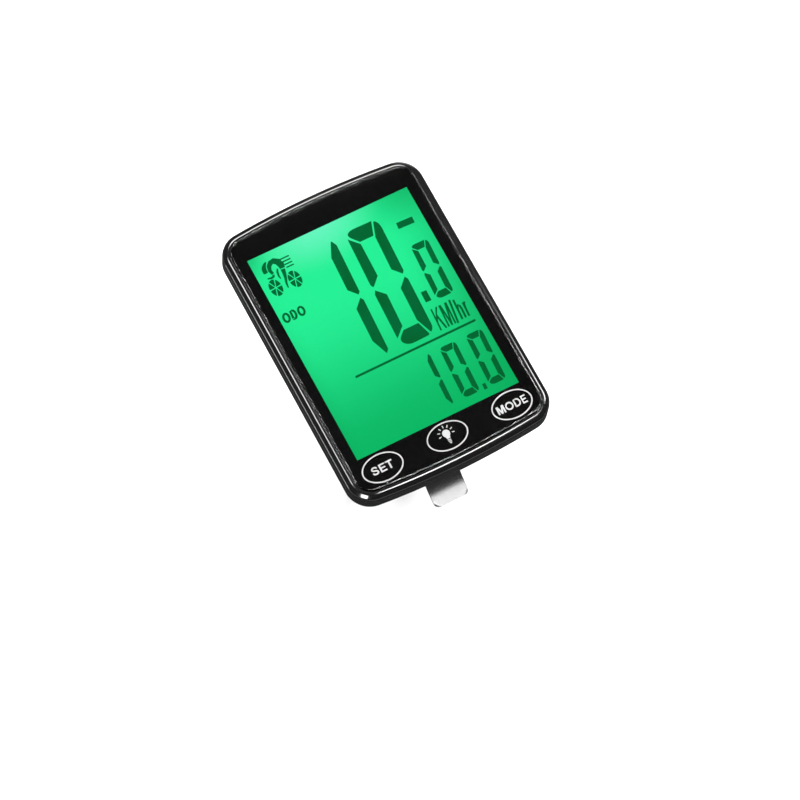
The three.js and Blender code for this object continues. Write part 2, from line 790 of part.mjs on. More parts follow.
function touchSpring(x) {
  const wire = new THREE.Shape();
  wire.absarc(0, 0, touchSpringWire / 2, 0, 2 * Math.PI, false);
  const reach = touchSpringWire / 2 + layerGap;
  const path = new Helix(touchSpringRadius - touchSpringWire / 2, touchSpringTurns, [
    boardTop + reach,
    lensBottom - reach,
  ]);
  const options = {
    steps: Math.round(touchSpringTurns * springSteps),
    extrudePath: path,
    curveSegments: 3,
    bevelEnabled: false,
  };
  return solidOf(new THREE.ExtrudeGeometry(wire, options)).translate(x, keyRow, 0);
}

function controllerBlob() {
  const profile = [
    [0, chipTop - blobHeight],
    [blobRadius * 0.5, chipTop - blobHeight * 0.9],
    [blobRadius * 0.8, chipTop - blobHeight * 0.55],
    [blobRadius, chipTop],
    [0, chipTop],
  ];
  return turned(profile, blobPlace, bossSteps);
}

function receiverChip() {
  const [x, y] = chipPlace;
  const [length, width, height] = chipSize;
  const across = [x - length / 2, x + length / 2];
  return box(across, [y - width / 2, y + width / 2], [chipTop - height, chipTop]);
}

// A can or rod lying with its axis along X.
function lyingCan(radius, length, [x, y], z) {
  const can = new THREE.CylinderGeometry(radius, radius, length, bossSteps);
  return solidOf(can.rotateZ(Math.PI / 2).translate(x, y, z));
}

function hungCan(radius, length, place) {
  return lyingCan(radius, length, place, chipTop - radius);
}

function coilWinding() {
  const place = [0, coilRow];
  const bore = lyingCan(coilBoreRadius, coilLength, place, coilLevel);
  return lyingCan(coilWireRadius, 2 * coilWireHalf, place, coilLevel).subtract(bore);
}

function contactMinus() {
  const foot = chipTop - contactThickness / 2;
  const touch = cellTop + layerGap + contactThickness / 2;
  const line = [
    [-9, foot],
    [-6, foot],
    [-1.6, touch],
    [1.6, touch],
    [2.6, touch + 0.25],
  ];
  return frontSlab(strip(line, contactThickness), [cellRow - contactHalf, cellRow + contactHalf]);
}

function contactPlus() {
  const foot = chipTop - contactThickness / 2;
  const side = cellDiameter / 2 + contactThickness / 2 + tieGap;
  const line = [
    [side + 2.6, foot],
    [side + 0.25, foot],
    [side, foot - 0.5],
    [side, cellBottom + 1.2],
    [side + 0.5, cellBottom + 0.75],
  ];
  return frontSlab(strip(line, contactThickness), [cellRow - contactHalf, cellRow + contactHalf]);
}

function cellCan() {
  const outer = cellDiameter / 2;
  const inner = outer - canSheet - gasketGap;
  const lip = cellBottom + canHeight;
  const profile = [
    [0, cellBottom],
    [outer - canFillet, cellBottom],
    [outer, cellBottom + canFillet],
    [outer, lip - canFillet],
    [inner, lip],
    [inner, cellBottom + canSheet],
    [0, cellBottom + canSheet],
  ];
  return turned(profile, cellPlace, cellSteps);
}

function cellGasket() {
  const outer = cellDiameter / 2 - canSheet - 2 * gasketGap;
  const inner = outer - gasketThickness;
  const low = cellBottom + canSheet + gasketGap;
  const high = cellBottom + canHeight + gasketGap;
  const profile = [
    [inner, low],
    [outer, low],
    [outer, high],
    [inner, high],
    [inner, low],
  ];
  return turned(profile, cellPlace, cellSteps);
}

function cellLid() {
  const outer = cellDiameter / 2 - canSheet - 3 * gasketGap - gasketThickness;
  const inner = outer - canSheet - lap;
  const low = cellTop - lidDepth;
  const roof = cellTop - canSheet - gasketGap;
  const profile = [
    [0, roof],
    [outer - 2 * canFillet, roof],
    [inner, roof - 2 * canFillet],
    [inner, low],
    [outer, low],
    [outer, cellTop - 2 * canFillet],
    [outer - 2 * canFillet, cellTop],
    [0, cellTop],
  ];
  return turned(profile, cellPlace, cellSteps);
}

function batteryCap() {
  const [sealLow, sealHigh] = capSealLevels;
  const edge = backCorner;
  const profile = [
    [0, capBottom],
    [flangeRadius - edge, capBottom],
    [flangeRadius, capBottom + edge],
    [flangeRadius, capBottom + capFlange],
    [hubRadius, capBottom + capFlange],
    [hubRadius, sealLow],
    [capSealRadius, sealLow],
    [capSealRadius, sealHigh],
    [hubRadius, sealHigh],
    [hubRadius, lugTop],
    [0, lugTop],
  ];
  const [length, width, depth] = coinSlot;
  const slot = roundedRectangle([-length / 2, length / 2], [-width / 2, width / 2], width * 0.45);
  const cut = slab(slot, [capBottom - past, capBottom + depth]).translate(0, cellRow, 0);
  const body = turned(profile, cellPlace, cellSteps);
  return body.add(lugs(lugRadius, [lugBottom, lugTop], lugAngle, 0)).subtract(cut);
}

// A round sealing ring in the cap's groove.
function capSeal() {
  const [sealLow, sealHigh] = capSealLevels;
  const wire = capSealWire / 2;
  const middle = capSealRadius + wire + layerGap;
  const level = (sealLow + sealHigh) / 2;
  const sides = 8;
  const profile = [];
  for (let i = 0; i <= sides; i += 1) {
    const angle = (i / sides) * 2 * Math.PI;
    profile.push([middle + wire * Math.cos(angle), level + wire * Math.sin(angle)]);
  }
  return turned(profile, cellPlace, cellSteps);
}

// The bracket: a block saddled on the bar, with a flange each side for the head's rails.
function bracketBase() {
  const topEdge = 0.6;
  const leadIn = 1;
  const side = polygon([
    [blockRear, blockBottom],
    [blockFront, blockBottom],
    [blockFront, plateTop - leadIn],
    [blockFront - leadIn, plateTop],
    [blockRear + topEdge, plateTop],
    [blockRear, plateTop - topEdge],
  ]);
  const half = blockWidth / 2;
  const bar = new THREE.CylinderGeometry(saddleRadius, saddleRadius, far, cellSteps);
  let base = sideSlab(side, [-half, half]).subtract(solidOf(bar.rotateZ(Math.PI / 2)));
  const flange = flangeWidth / 2;
  base = base.add(box([-flange, flange], [blockRear, flangeFront], [flangeBottom, plateTop]));
  base = base.subtract(springRecess());
  for (const x of [-tieOffset, tieOffset]) {
    base = base.subtract(tieGroove(x));
  }
  const rivetEnd = springBottom - rivetGrip - 2 * layerGap;
  for (const x of [-rivetSpacing / 2, rivetSpacing / 2]) {
    base = base.subtract(rivetHole(x, rivetEnd));
  }
  return base;
}

function rivetHole(x, bottom) {
  return cylinder(rivetDiameter / 2 + screwGap, [x, rivetRow], [bottom, far], boreSteps);
}

// Room under the release spring for its travel.
function springRecess() {
  const slope = Math.sin(THREE.MathUtils.degToRad(springPress));
  const floor = springBottom - springFloorGap;
  const rear = blockRear - past;
  const shape = polygon([
    [rear, floor - slope * (springHinge - rear)],
    [springHinge, floor],
    [springRoot + springSideGap, floor],
    [springRoot + springSideGap, far],
    [rear, far],
  ]);
  return sideSlab(shape, [-channelHalf, channelHalf]);
}

function tieGroove(x) {
  const across = [x - tieGrooveHalf, x + tieGrooveHalf];
  const top = box(across, [blockRear - past, blockFront + past], [tieTop - tieGap, far]);
  const rear = box(across, [blockRear - past, blockRear + tieNotch], [0, far]);
  const front = box(across, [blockFront - tieNotch, blockFront + past], [0, far]);
  return top.add(rear).add(front);
}

// A loop over the bracket and round the underside of the bar, drawn a distance out from its inner face.
function tieLoop(out) {
  const radius = barRadius + tieGap + out;
  const top = tieTop + out;
  const front = blockFront - tieNotch + tieGap + out;
  const rear = blockRear + tieNotch - tieGap - out;
  const corner = 2 * tieGap + out;
  const knee = blockBottom + 2 * tieGap;
  const leave = (y) => Math.acos(radius / Math.hypot(y, knee));
  const rearAngle = Math.atan2(knee, rear) + leave(rear);
  const frontAngle = Math.atan2(knee, front) - leave(front);
  const shape = new THREE.Shape();
  shape.absarc(front - corner, top - corner, corner, 0, Math.PI / 2, false);
  shape.absarc(rear + corner, top - corner, corner, Math.PI / 2, Math.PI, false);
  shape.lineTo(rear, knee);
  shape.absarc(0, 0, radius, rearAngle, 2 * Math.PI + frontAngle, false);
  shape.lineTo(front, knee);
  return shape;
}

function cableTie(x) {
  const across = [x - tieWidth / 2, x + tieWidth / 2];
  const outer = sideSlab(tieLoop(tieThickness), across, tieSteps);
  const inner = sideSlab(tieLoop(0), [across[0] - past, across[1] + past], tieSteps);
  const [width, length, height] = tieHead;
  const angle = THREE.MathUtils.degToRad(tieHeadAngle);
  const place = (geometry, radius) =>
    solidOf(geometry.translate(x, 0, radius).rotateX(angle - Math.PI / 2));
  const near = barRadius + tieGap + tieHeadGap;
  const head = place(new THREE.BoxGeometry(width, length, height), near + height / 2);
  const tail = new THREE.BoxGeometry(tieWidth, tieTail + past, tieThickness);
  tail.translate(0, (length + tieTail - past) / 2, 0);
  return outer.subtract(inner).add(head).add(place(tail, near + height * 0.6));
}

function barPad() {
  const edge = THREE.MathUtils.degToRad(padAngle);
  const sector = new THREE.Shape();
  sector.absarc(0, 0, barRadius + padThickness, edge, Math.PI - edge, false);
  sector.absarc(0, 0, barRadius, Math.PI - edge, edge, true);
  return sideSlab(sector, [-padWidth / 2, padWidth / 2], padSteps);
}

// The clamped end of the release spring.
function springClamp() {
  const half = springWidth / 2;
  const rows = [springHinge + springSlit, springRoot];
  let plate = box([-half, half], rows, [springBottom, springTop]);
  for (const x of [-rivetSpacing / 2, rivetSpacing / 2]) {
    plate = plate.subtract(rivetHole(x, 0));
  }
  return plate;
}

// The part of the release spring that flexes: its arm, the folded catch, and the thumb tab.
function releaseTab() {
  const catchFront = catchRear + catchTop + springSideGap / 2;
  const crest = springLevel + catchHeight;
  const corner = ([y, z]) => [blockRear + y, springLevel + z];
  const line = [
    [springHinge, springLevel],
    [catchFront + catchRamp, springLevel],
    [catchFront, crest],
    [catchFront - catchTop, crest],
    [catchRear, springLevel],
    [blockRear - tabStraight, springLevel],
    corner(tabBend),
    corner(tabKnee),
    corner(tabFlare),
    corner(tabTip),
  ];
  const half = springWidth / 2;
  const sheet = sideSlab(strip(line, springThickness), [-half, half]);
  const rows = [blockRear + tabTip[0], springHinge + 2 * tabCorner];
  const plan = roundedRectangle([-half, half], rows, tabCorner);
  return sheet.intersect(slab(plan, [0, far]));
}

function rivet(x) {
  const head = rivetHead / 2;
  const seat = springTop + layerGap;
  const profile = [
    [0, springBottom - rivetGrip],
    [rivetDiameter / 2, springBottom - rivetGrip],
    [rivetDiameter / 2, seat],
    [head, seat],
    [head, seat + rivetHeight * 0.4],
    [head * 0.6, seat + rivetHeight],
    [0, seat + rivetHeight],
  ];
  return turned(profile, [x, rivetRow], bossSteps);
}

function buildHead() {
  const head = new THREE.Group();
  head.position.set(0, headForward, rimLevel);
  const add = (name, solid, colour) => head.add(meshOf(name, solid, colour));
  const glassRows = [glassBottom, glassTop];
  const viewRows = [viewBottom, viewTop];
  const filmHalf = glassHalf - polariserInset;
  const ledgeRows = [glassBottom, glassTop + glassLedge];

  add("front_housing", frontHousing(), "glossBlack");
  add("back_housing", backHousing(), "satinBlack");
  add("case_seal", caseSeal(), "rubber");
  add("window_lens", windowLens(), "lens");
  add("lens_adhesive", lensAdhesive(), "rubber");

  add("lcd_front_polariser", layerSlab("frontPolariser", filmHalf, glassRows), "film");
  add("lcd_front_glass", layerSlab("frontGlass", glassHalf, ledgeRows), "glass");
  add("lcd_rear_glass", layerSlab("rearGlass", glassHalf, glassRows), "glass");
  add("lcd_rear_polariser", layerSlab("rearPolariser", filmHalf, glassRows), "film");
  add("lcd_connector_strip", connectorStrip(), "rubber");
  add("display_frame", displayFrame(), "whitePlastic");
  add("diffuser_sheet", layerSlab("diffuser", guideHalf, viewRows), "film");
  add("light_guide", layerSlab("guide", guideHalf, viewRows), "guide");
  add("reflector_sheet", layerSlab("reflector", guideHalf, viewRows), "whitePlastic");
  add("backlight_lamp_left", backlightLamp(-lampSpacing / 2), "lamp");
  add("backlight_lamp_right", backlightLamp(lampSpacing / 2), "lamp");

  add("main_board", mainBoard(), "board");
  add("touch_spring_set", touchSpring(-keyPitch), "steel");
  add("touch_spring_light", touchSpring(0), "steel");
  add("touch_spring_mode", touchSpring(keyPitch), "steel");
  add("controller_blob", controllerBlob(), "rubber");
  add("receiver_chip", receiverChip(), "rubber");
  add("timing_crystal", hungCan(crystalRadius, crystalLength, crystalPlace), "steel");
  add("storage_capacitor", hungCan(capacitorRadius, capacitorLength, capacitorPlace), "rubber");
  add("receiver_coil_core", lyingCan(coilCoreRadius, coilLength, [0, coilRow], coilLevel), "ferrite");
  add("receiver_coil_winding", coilWinding(), "copper");
  add("battery_contact_plus", contactPlus(), "steel");
  add("battery_contact_minus", contactMinus(), "steel");
  add("coin_cell_can", cellCan(), "steel");
  add("coin_cell_gasket", cellGasket(), "rubber");
  add("coin_cell_lid", cellLid(), "steel");
  add("battery_cap", batteryCap(), "satinBlack");
  add("battery_cap_seal", capSeal(), "rubber");

  const caseSeat = caseScrewSeat - layerGap;
  for (const [side, place] of bothSides(caseScrewPlace)) {
    const solid = screw(place, caseScrewShank, caseScrewHead, caseSeat, caseScrewLength);
    add("case_screw_" + side, solid, "steel");
  }
  for (const [side, place] of bothSides(boardScrewPlace)) {
    const solid = screw(place, boardScrewShank, boardScrewHead, boardScrewSeat, boardScrewLength);
    add("board_screw_" + side, solid, "steel");
  }
  return head;
}

function buildBracket() {
  const bracket = new THREE.Group();
  const add = (name, solid, colour) => bracket.add(meshOf(name, solid, colour));
  add("bracket_base", bracketBase(), "satinBlack");
  add("bar_pad", barPad(), "rubber");
  add("release_spring_clamp", springClamp(), "steel");
  add("release_spring_tab", releaseTab(), "steel");
  add("spring_rivet_left", rivet(-rivetSpacing / 2), "steel");
  add("spring_rivet_right", rivet(rivetSpacing / 2), "steel");
  add("cable_tie_left", cableTie(-tieOffset), "nylon");
  add("cable_tie_right", cableTie(tieOffset), "nylon");
  return bracket;
}

const computer = new THREE.Group();
computer.add(buildHead(), buildBracket());

export default computer;
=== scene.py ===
import math

import bmesh
import bpy
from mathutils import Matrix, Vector


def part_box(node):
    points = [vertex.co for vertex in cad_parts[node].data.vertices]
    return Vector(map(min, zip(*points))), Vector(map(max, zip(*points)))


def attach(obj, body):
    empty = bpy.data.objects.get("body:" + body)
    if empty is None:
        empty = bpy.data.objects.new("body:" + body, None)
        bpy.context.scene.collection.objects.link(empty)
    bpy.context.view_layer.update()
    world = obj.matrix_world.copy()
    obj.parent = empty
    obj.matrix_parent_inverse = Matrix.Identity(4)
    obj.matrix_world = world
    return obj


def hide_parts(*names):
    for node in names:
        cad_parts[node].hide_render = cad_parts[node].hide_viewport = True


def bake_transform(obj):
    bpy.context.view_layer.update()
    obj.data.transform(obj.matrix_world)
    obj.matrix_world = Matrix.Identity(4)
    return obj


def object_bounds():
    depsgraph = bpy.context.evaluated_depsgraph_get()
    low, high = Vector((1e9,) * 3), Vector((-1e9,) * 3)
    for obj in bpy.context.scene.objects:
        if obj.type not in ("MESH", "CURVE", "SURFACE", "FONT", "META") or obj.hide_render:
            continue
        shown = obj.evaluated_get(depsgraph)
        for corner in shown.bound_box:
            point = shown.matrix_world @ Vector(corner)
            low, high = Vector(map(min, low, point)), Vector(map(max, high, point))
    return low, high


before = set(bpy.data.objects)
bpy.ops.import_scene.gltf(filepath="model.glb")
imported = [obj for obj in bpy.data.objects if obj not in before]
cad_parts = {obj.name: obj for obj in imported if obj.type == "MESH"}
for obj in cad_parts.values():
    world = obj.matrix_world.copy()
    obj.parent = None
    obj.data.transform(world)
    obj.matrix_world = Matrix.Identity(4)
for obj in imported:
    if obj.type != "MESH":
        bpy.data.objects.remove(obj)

# A handlebar cycling computer. Pieces are modelled in millimetres and scaled to metres when done.
bpy.ops.object.select_all(action="DESELECT")
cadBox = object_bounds()
millimetre = 0.001
bpy.context.scene.view_settings.view_transform = "Standard"


def nodeBox(node):
    low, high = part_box(node)
    return low / millimetre, high / millimetre


frontLow, frontHigh = nodeBox("front_housing")
headPlace = Vector((0, (frontLow.y + frontHigh.y) / 2, frontHigh.z))  # middle of the head, rim level

# Camera, floor and lights

cameraSizes = {
    "place": (-0.14924, -0.20621, 0.68219),
    "right": (0.8813, -0.4695, 0.0528),
    "up": (0.4244, 0.8358, 0.3482),
    "back": (-0.2076, -0.2844, 0.9359),
    "lens": 148.5,
    "sensor": 36,
}

# metres; the card lies on the floor
floorSizes = {
    "width": 6,
    "gap": 0.002,
    "colour": (0.86, 0.86, 0.86, 1),
    "roughness": 0.9,
    "specular": 0.1,
    "cardWidth": 0.5,
    "cardLift": 0.0006,
    "cardColour": (0.02, 0.02, 0.02, 1),
}

# aim is where a light stands, seen from the head; size and distance are in metres
lightSizes = {
    "leftBox": {"aim": (-0.34, 0.34, 0.88), "distance": 1.2, "size": (0.28, 0.45), "power": 7},
    "sideBox": {"aim": (-0.97, 0.25, 0.18), "distance": 1.2, "size": (0.3, 0.2), "power": 2.5},
    "topBox": {"aim": (0.17, 0.72, 0.66), "distance": 1.1, "size": (0.7, 0.34), "power": 17},
    "rightBox": {"aim": (0.8, 0.1, 0.6), "distance": 1.2, "size": (0.4, 0.5), "power": 15},
    "lowBox": {"aim": (0.22, -0.36, 0.91), "distance": 1.1, "size": (0.45, 0.3), "power": 0.8},
    "lowStrip": {"aim": (0.22, -0.08, 0.97), "distance": 1.1, "size": (0.6, 0.07), "power": 8},
    "fillBox": {"aim": (-0.56, -0.55, 0.62), "distance": 1.2, "size": (0.35, 0.35), "power": 12},
}
roomLight = 0.035


def addCamera(sizes):
    bpy.ops.object.camera_add()
    camera = bpy.context.object
    camera.name = "mainCamera"
    camera.data.lens = sizes["lens"]
    camera.data.sensor_width = sizes["sensor"]
    camera.data.clip_start = 0.01
    axes = [Vector(sizes[name]).normalized() for name in ("right", "up", "back")]
    for column, axis in enumerate(axes):
        for row in range(3):
            camera.matrix_world[row][column] = axis[row]
    camera.matrix_world.translation = Vector(sizes["place"])
    bpy.context.scene.camera = camera


def addFloor(sizes):
    level = cadBox[0].z - sizes["gap"]
    bpy.ops.mesh.primitive_plane_add(size=sizes["width"], location=(0, 0, level))
    floor = bpy.context.object
    floor.name = "floor"
    paper = bpy.data.materials.new("paleFloor")
    paper.use_nodes = True
    shader = paper.node_tree.nodes["Principled BSDF"]
    shader.inputs["Base Color"].default_value = sizes["colour"]
    shader.inputs["Roughness"].default_value = sizes["roughness"]
    shader.inputs["Specular IOR Level"].default_value = sizes["specular"]
    floor.data.materials.append(paper)
    # a dark card that only reflections see, in place of what stands under the head on a bicycle
    bpy.ops.mesh.primitive_plane_add(size=sizes["cardWidth"], location=(0, 0, level + sizes["cardLift"]))
    card = bpy.context.object
    card.name = "darkCard"
    card.visible_camera = card.visible_diffuse = card.visible_shadow = card.visible_transmission = False
    dark = bpy.data.materials.new("darkCard")
    dark.use_nodes = True
    shader = dark.node_tree.nodes["Principled BSDF"]
    shader.inputs["Base Color"].default_value = sizes["cardColour"]
    shader.inputs["Roughness"].default_value = 1.0
    card.data.materials.append(dark)


def addLights(allSizes):
    target = headPlace * millimetre
    for name, sizes in allSizes.items():
        aim = Vector(sizes["aim"]).normalized()
        bpy.ops.object.light_add(type="AREA", location=target + aim * sizes["distance"])
        light = bpy.context.object
        light.name = name
        light.data.shape = "RECTANGLE"
        light.data.size, light.data.size_y = sizes["size"]
        light.data.energy = sizes["power"]
        light.rotation_mode = "QUATERNION"
        light.rotation_quaternion = aim.to_track_quat("Z", "Y")
    world = bpy.data.worlds.new("studio")
    world.use_nodes = True
    world.node_tree.nodes["Background"].inputs["Color"].default_value = (1, 1, 1, 1)
    world.node_tree.nodes["Background"].inputs["Strength"].default_value = roomLight
    bpy.context.scene.world = world


addCamera(cameraSizes)
addFloor(floorSizes)
addLights(lightSizes)
print("camera, floor and lights")

# Modelling steps


def activate(piece):
    bpy.ops.object.select_all(action="DESELECT")
    piece.select_set(True)
    bpy.context.view_layer.objects.active = piece


def applyPlace(piece):
    activate(piece)
    bpy.ops.object.transform_apply(location=True, rotation=True, scale=True)
    return piece


def block(name, low, high):
    middle = [(a + b) / 2 for a, b in zip(low, high)]
    bpy.ops.mesh.primitive_cube_add(size=1, location=middle)
    piece = bpy.context.object
    piece.name = name
    piece.scale = [b - a for a, b in zip(low, high)]
    return applyPlace(piece)


def rod(name, radius, start, end, sides=64):
    start, end = Vector(start), Vector(end)
    length = (end - start).length
    bpy.ops.mesh.primitive_cylinder_add(
        vertices=sides, radius=radius, depth=length, location=(start + end) / 2
    )
    piece = bpy.context.object
    piece.name = name
    piece.rotation_mode = "QUATERNION"
    piece.rotation_quaternion = (end - start).to_track_quat("Z", "Y")
    return applyPlace(piece)


def pick(piece, kind, test):
    activate(piece)
    bpy.ops.object.mode_set(mode="EDIT")
    bpy.ops.mesh.select_mode(type=kind)
    bpy.ops.mesh.select_all(action="DESELECT")
    mesh = bmesh.from_edit_mesh(piece.data)
    items = {"VERT": mesh.verts, "EDGE": mesh.edges, "FACE": mesh.faces}[kind]
    for item in items:
        if test(item):
            item.select_set(True)
    bmesh.update_edit_mesh(piece.data)


def leaveEdit():
    bpy.ops.object.mode_set(mode="OBJECT")


def bevelEdges(piece, test, width, segments=3):
    pick(piece, "EDGE", test)
    bpy.ops.mesh.bevel(offset=width, segments=segments, affect="EDGES", clamp_overlap=True)
    leaveEdit()
    return piece


def isSharp(edge, least=0.3):
    return len(edge.link_faces) == 2 and edge.calc_face_angle() > least


def sharpAt(level, axis=2, reach=0.01):
    return lambda edge: isSharp(edge) and all(abs(v.co[axis] - level) < reach for v in edge.verts)


def isUpright(edge):
    a, b = (v.co for v in edge.verts)
    return (a.xy - b.xy).length < 0.001


def combine(piece, tools, operation):
    for tool in tools:
        activate(piece)
        step = piece.modifiers.new(operation.lower(), "BOOLEAN")
        step.operation = operation
        step.solver = "EXACT"
        step.object = tool
        bpy.ops.object.modifier_apply(modifier=step.name)
        bpy.data.objects.remove(tool)
    return piece


def cutAway(piece, *tools):
    return combine(piece, tools, "DIFFERENCE")


def joinOn(piece, *tools):
    return combine(piece, tools, "UNION")


def keepInside(piece, *tools):
    return combine(piece, tools, "INTERSECT")


def softenEdges(piece, width, segments=2, angle=40):
    activate(piece)
    step = piece.modifiers.new("soften", "BEVEL")
    step.width = width
    step.segments = segments
    step.limit_method = "ANGLE"
    step.angle_limit = math.radians(angle)
    bpy.ops.object.modifier_apply(modifier=step.name)
    return piece


def mergeDoubles(piece, reach=0.0005):
    pick(piece, "VERT", lambda vertex: True)
    bpy.ops.mesh.remove_doubles(threshold=reach)
    bpy.ops.mesh.select_all(action="SELECT")
    bpy.ops.mesh.normals_make_consistent(inside=False)
    leaveEdit()
    return piece


def insetFace(piece, test, thickness, depth=0):
    pick(piece, "FACE", test)
    bpy.ops.mesh.inset(thickness=thickness, depth=depth)
    leaveEdit()


def topFace(piece):
    top = max(v.co.z for v in piece.data.vertices)
    return lambda face: face.normal.z > 0.9 and abs(face.calc_center_median().z - top) < 0.01


def bottomFace(piece):
    low = min(v.co.z for v in piece.data.vertices)
    return lambda face: face.normal.z < -0.9 and abs(face.calc_center_median().z - low) < 0.01


# The disc left by a first inset, without the ring of four-sided faces round it.
def innerDisc(endTest):
    return lambda face: len(face.verts) > 4 and endTest(face)


def copyPiece(piece, name, move=(0, 0, 0), mirror=False):
    twin = piece.copy()
    twin.data = piece.data.copy()
    twin.name = name
    bpy.context.scene.collection.objects.link(twin)
    twin.location = move
    if mirror:
        twin.scale.x = -1
    applyPlace(twin)
    return mergeDoubles(twin) if mirror else twin


def joinPieces(name, parts):
    activate(parts[0])
    for part in parts:
        part.select_set(True)
    bpy.ops.object.join()
    bpy.context.object.name = name
    return bpy.context.object


# A solid between two levels from closed flat outlines; an outline inside another is a hole.
def flatShape(name, outlines, levels, shift=(0, 0), edge=0.0, forward=0.0):
    low, high = levels
    curve = bpy.data.curves.new(name, "CURVE")
    curve.dimensions = "2D"
    curve.fill_mode = "BOTH"
    curve.extrude = (high - low) / 2 - edge
    curve.bevel_depth = edge
    curve.bevel_resolution = 2
    curve.offset = -edge
    for outline in outlines:
        spline = curve.splines.new("POLY")
        spline.points.add(len(outline) - 1)
        for point, corner in zip(spline.points, outline):
            point.co = (corner[0] + shift[0], corner[1] + shift[1], 0, 1)
        spline.use_cyclic_u = True
    shape = bpy.data.objects.new(name, curve)
    bpy.context.scene.collection.objects.link(shape)
    activate(shape)
    bpy.ops.object.convert(target="MESH")
    shape = bpy.context.object
    shape.location = (0, forward, (low + high) / 2)
    applyPlace(shape)
    return mergeDoubles(shape, 0.0001)


# The same, for an outline given in (y, z) and carried across x.
def sideShape(name, outlines, across, edge=0.0):
    half = (across[1] - across[0]) / 2
    shape = flatShape(name, outlines, (-half, half), (0, 0), edge)
    shape.rotation_euler = (math.pi / 2, 0, math.pi / 2)
    shape.location = ((across[0] + across[1]) / 2, 0, 0)
    return applyPlace(shape)


# Big flat faces keep their own normals beside the small rounded ones.
def smoothFaces(piece, angle=32):
    activate(piece)
    bpy.ops.object.shade_smooth_by_angle(angle=math.radians(angle))
    step = piece.modifiers.new("normals", "WEIGHTED_NORMAL")
    step.keep_sharp = True
    step.weight = 100
    bpy.ops.object.modifier_apply(modifier=step.name)


# Leftovers of the cuts: slivers and pinholes.
def closeMesh(piece):
    mergeDoubles(piece, 0.002)
    pick(piece, "VERT", lambda vertex: True)
    bpy.ops.mesh.dissolve_degenerate(threshold=0.001)
    bpy.ops.mesh.delete_loose()
    bpy.ops.mesh.select_all(action="DESELECT")
    bpy.ops.mesh.select_non_manifold(
        extend=False, use_multi_face=False, use_non_contiguous=False, use_verts=False
    )
    bpy.ops.mesh.fill_holes(sides=0)
    leaveEdit()


def finishPiece(piece, material, body, nodes=(), place=(0, 0, 0), smooth=32):
    closeMesh(piece)
    piece.location = Vector(place)
    applyPlace(piece)
    piece.scale = (millimetre,) * 3
    applyPlace(piece)
    smoothFaces(piece, smooth)
    piece.data.materials.clear()
    piece.data.materials.append(material)
    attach(piece, body)
    if nodes:
        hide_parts(*nodes)
    return piece


# Effects shared by the materials


def newGroup(name, inputs, outputs):
    group = bpy.data.node_groups.new(name, "ShaderNodeTree")
    for label, kind, value in inputs:
        socket = group.interface.new_socket(label, in_out="INPUT", socket_type=kind)
        if value is not None:
            socket.default_value = value
    for label, kind in outputs:
        group.interface.new_socket(label, in_out="OUTPUT", socket_type=kind)
    entry = group.nodes.new("NodeGroupInput")
    leave = group.nodes.new("NodeGroupOutput")
    return group, entry, leave


def addNode(tree, kind, values=None, **links):
    node = tree.nodes.new(kind)
    for label, value in (values or {}).items():
        if label in node.inputs.keys():
            node.inputs[label].default_value = value
        else:
            setattr(node, label, value)
    for label, source in links.items():
        tree.links.new(source, node.inputs[label.replace("_", " ")])
    return node


def mixColours(tree, factor, first, second, blend="MIX"):
    node = tree.nodes.new("ShaderNodeMix")
    node.data_type = "RGBA"
    node.blend_type = blend
    for index, source in ((0, factor), (6, first), (7, second)):
        if isinstance(source, bpy.types.NodeSocket):
            tree.links.new(source, node.inputs[index])
        else:
            node.inputs[index].default_value = source
    return node.outputs[2]


def remap(tree, source, low, high, newLow=0.0, newHigh=1.0):
    values = {"From Min": low, "From Max": high, "To Min": newLow, "To Max": newHigh}
    return addNode(tree, "ShaderNodeMapRange", values, Value=source).outputs["Result"]


# mould grain: a fine spark-eroded surface
def makeGrain():
    inputs = [("Vector", "NodeSocketVector", None), ("Scale", "NodeSocketFloat", 900.0)]
    outputs = [("Height", "NodeSocketFloat"), ("Patches", "NodeSocketFloat")]
    group, entry, leave = newGroup("mouldGrain", inputs, outputs)
    fine = addNode(group, "ShaderNodeTexNoise", {"Detail": 3.0, "Roughness": 0.6})
    group.links.new(entry.outputs["Vector"], fine.inputs["Vector"])
    group.links.new(entry.outputs["Scale"], fine.inputs["Scale"])
    cells = addNode(group, "ShaderNodeTexVoronoi", {"Scale": 2600.0})
    group.links.new(entry.outputs["Vector"], cells.inputs["Vector"])
    both = addNode(group, "ShaderNodeMath", {"operation": "MULTIPLY"})
    group.links.new(fine.outputs["Fac"], both.inputs[0])
    group.links.new(cells.outputs["Distance"], both.inputs[1])
    broad = addNode(group, "ShaderNodeTexNoise", {"Scale": 60.0, "Detail": 4.0})
    group.links.new(entry.outputs["Vector"], broad.inputs["Vector"])
    group.links.new(both.outputs[0], leave.inputs["Height"])
    group.links.new(broad.outputs["Fac"], leave.inputs["Patches"])
    return group


